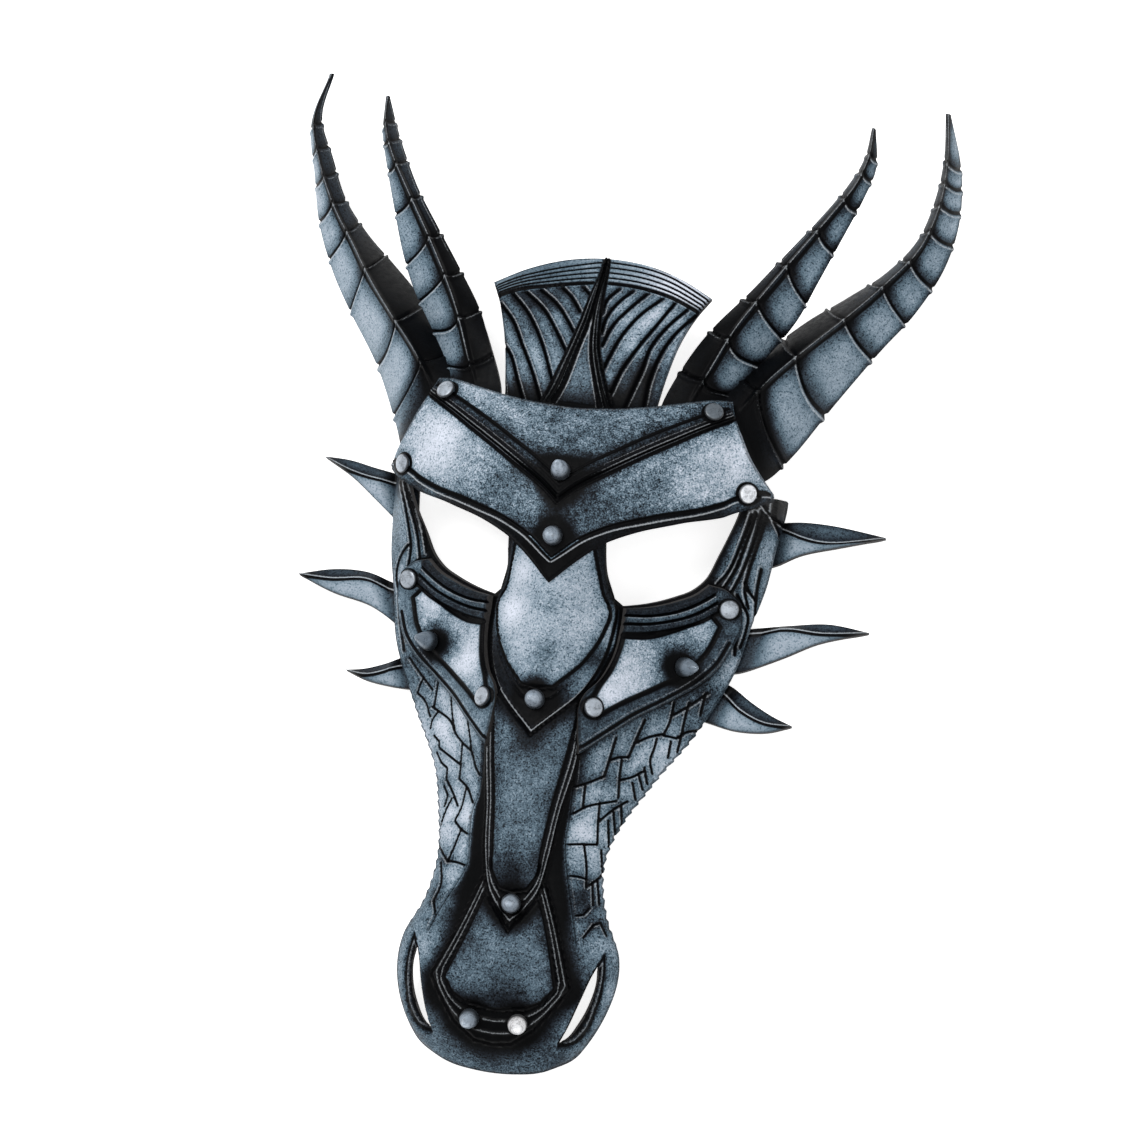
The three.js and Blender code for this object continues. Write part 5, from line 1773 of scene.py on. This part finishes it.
def painted_metal(name, pale, foot_width):
    """A metal cap rubbed with the same paint, darker round its foot: part paint, part painted shadow.
    """
    material, tree, shader = new_material(name)
    where = places_on(tree)
    patches = noise(tree, where, 330, 4, 0.65)
    speck = noise(tree, where, 1300, 2, 0.6)
    dark = tuple(0.42 * c for c in pale)
    bright = tuple(min(1, 1.35 * c) for c in pale)
    rubbed = mixture(tree, patches, speck, 0.6)
    colour = ramp(tree, rubbed, [(0.32, dark), (0.5, pale), (0.72, bright)])
    foot = span(tree, number_on_skin(tree, "edge"), foot_width, 0.15)
    colour = mix(tree, math_node(tree, "MULTIPLY", foot, 0.92), colour, CAP_FOOT_COLOUR)
    tree.links.new(colour, shader.inputs["Base Color"])
    tree.links.new(span(tree, patches, 0.3, 0.7, 0.22, 0.36), shader.inputs["Roughness"])
    shader.inputs["Metallic"].default_value = 0.2
    relief(tree, shader, patches, 0.3, 0.0004)
    return material


# Camera, floor and lights. The camera looks down at the mask from over its right-hand side and
# its chin, and is rolled a little.
CAMERA_PLACE = (0.37831, -0.43534, 1.68025)
CAMERA_ASIDE = math.radians(13.0)
CAMERA_BELOW = math.radians(14.5)
CAMERA_ROLL = math.radians(8.65)
LENS = 121.0
FLOOR_HALF = 4.0


def camera():
    data = bpy.data.cameras.new("camera")
    data.lens = LENS
    data.sensor_width = 36
    data.sensor_fit = "HORIZONTAL"
    data.clip_end = 20
    viewer = bpy.data.objects.new("camera", data)
    level = Vector((math.cos(CAMERA_ASIDE), 0, -math.sin(CAMERA_ASIDE)))
    back = math.cos(CAMERA_BELOW) * Vector((math.sin(CAMERA_ASIDE), 0, math.cos(CAMERA_ASIDE)))
    back.y = -math.sin(CAMERA_BELOW)
    upright = back.cross(level)
    right = math.cos(CAMERA_ROLL) * level + math.sin(CAMERA_ROLL) * upright
    up = math.cos(CAMERA_ROLL) * upright - math.sin(CAMERA_ROLL) * level
    viewer.matrix_world = Matrix((right, up, back)).transposed().to_4x4()
    viewer.location = CAMERA_PLACE
    bpy.context.scene.collection.objects.link(viewer)
    bpy.context.scene.camera = viewer


def soft_light(name, place, size, power):
    """A round light that faces the mask."""
    data = bpy.data.lights.new(name, "AREA")
    data.shape = "DISK"
    data.size = size
    data.energy = power
    lamp = bpy.data.objects.new(name, data)
    lamp.location = place
    lamp.rotation_euler = (-Vector(place)).to_track_quat("-Z", "Y").to_euler()
    bpy.context.scene.collection.objects.link(lamp)


def pale_floor():
    material, _, shader = new_material("pale_floor")
    shader.inputs["Base Color"].default_value = (0.93, 0.93, 0.93, 1)
    shader.inputs["Roughness"].default_value = 0.9
    shader.inputs["Emission Color"].default_value = (1, 1, 1, 1)
    shader.inputs["Emission Strength"].default_value = 0.72
    mesh = bpy.data.meshes.new("floor")
    corners = [(x * FLOOR_HALF, y * FLOOR_HALF, 0) for x, y in ((-1, -1), (1, -1), (1, 1), (-1, 1))]
    mesh.from_pydata(corners, [], [(0, 1, 2, 3)])
    mesh.materials.append(material)
    floor = bpy.data.objects.new("floor", mesh)
    bpy.context.scene.collection.objects.link(floor)


def studio():
    pale_floor()
    world = bpy.data.worlds.new("studio")
    world.use_nodes = True
    world.node_tree.nodes["Background"].inputs["Color"].default_value = (1, 1, 1, 1)
    world.node_tree.nodes["Background"].inputs["Strength"].default_value = 0.45
    bpy.context.scene.world = world
    soft_light("key", (-0.5, 0.35, 1.5), 0.9, 17)
    soft_light("fill", (0.7, -0.5, 1.6), 1.2, 8)
    bpy.context.scene.view_settings.view_transform = "Standard"


camera()
studio()

# Each leather's paint is mottled by its own amount, over the same dyed back
paint = sponged_paint()
back = dyed_back("dyed_back")
SHELL = [painted_leather("shell_paint", paint, 0.65), back]
PLATE = [painted_leather("plate_paint", paint, 1.0), back]
CREST = [painted_leather("crest_paint", paint, 0.6), back]
HORN = [painted_leather("horn_paint", paint, 0.45), back]
SPIKE = [painted_leather("spike_paint", paint, 0.4), back]
# The caps' paint: its colour, and how wide the black round the foot is, part paint, part painted
# shadow
METAL = {
    "stud": [painted_metal("stud_paint", (0.33, 0.39, 0.46), 1.6)],
    "dark_stud": [painted_metal("dark_stud_paint", (0.17, 0.21, 0.255), 1.2)],
    # Near white all over: a painted highlight, on the right nose tip stud
    "highlight_stud": [painted_metal("bare_stud_paint", (0.95, 0.95, 0.97), 0.9)],
    "rivet": [painted_metal("rivet_paint", (0.34, 0.38, 0.43), 0.85)],
    "dark_rivet": [painted_metal("dark_rivet_paint", (0.1, 0.12, 0.14), 0.85)],
    # A near-white rivet, for the lower right forehead rivet
    "pale_rivet": [painted_metal("bare_rivet_paint", (0.75, 0.78, 0.83), 0.85)],
}
# Caps that are darker or paler than the others of their kind
FINISHED_APART = {
    "cheek_stud_right": "dark_stud", "cheek_stud_left": "dark_stud",
    "nose_tip_stud_right": "highlight_stud",
    "forehead_rivet_upper_right": "dark_rivet", "forehead_rivet_lower_right": "pale_rivet",
}


def fit(piece, node):
    """The piece rides on the mask and stands for its solid."""
    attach(piece, "root")
    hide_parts(node)


fit(face_shell(SHELL), "face_shell")
fit(forehead_plate(PLATE), "forehead_plate")
for side, outline in (("right", CHEEK), ("left", mirrored(CHEEK))):
    node = f"cheek_plate_{side}"
    fit(cheek_plate("leather_" + node, outline, PLATE), node)
fit(crest(CREST), "crest")
for side, sign in (("right", 1), ("left", -1)):
    for kind, shape in (("outer", OUTER_HORN), ("inner", INNER_HORN)):
        node = f"{kind}_horn_{side}"
        fit(horn(node, shape, RINGS[node], sign, HORN), node)
    for n, shapes in enumerate(SPIKES, 1):
        node = f"cheek_spike_{n}_{side}"
        fit(spike("leather_" + node, shapes[side], sign, SPIKE), node)
for name, x, y, seat, kind, pair in FASTENERS:
    for side, sign in (("_right", 1), ("_left", -1)) if pair else (("", 1),):
        finish = METAL[FINISHED_APART.get(name + side, kind)]
        fit(fastener(name + side, sign * x, y, seat, kind, finish), name + side)

bpy.context.view_layer.update()
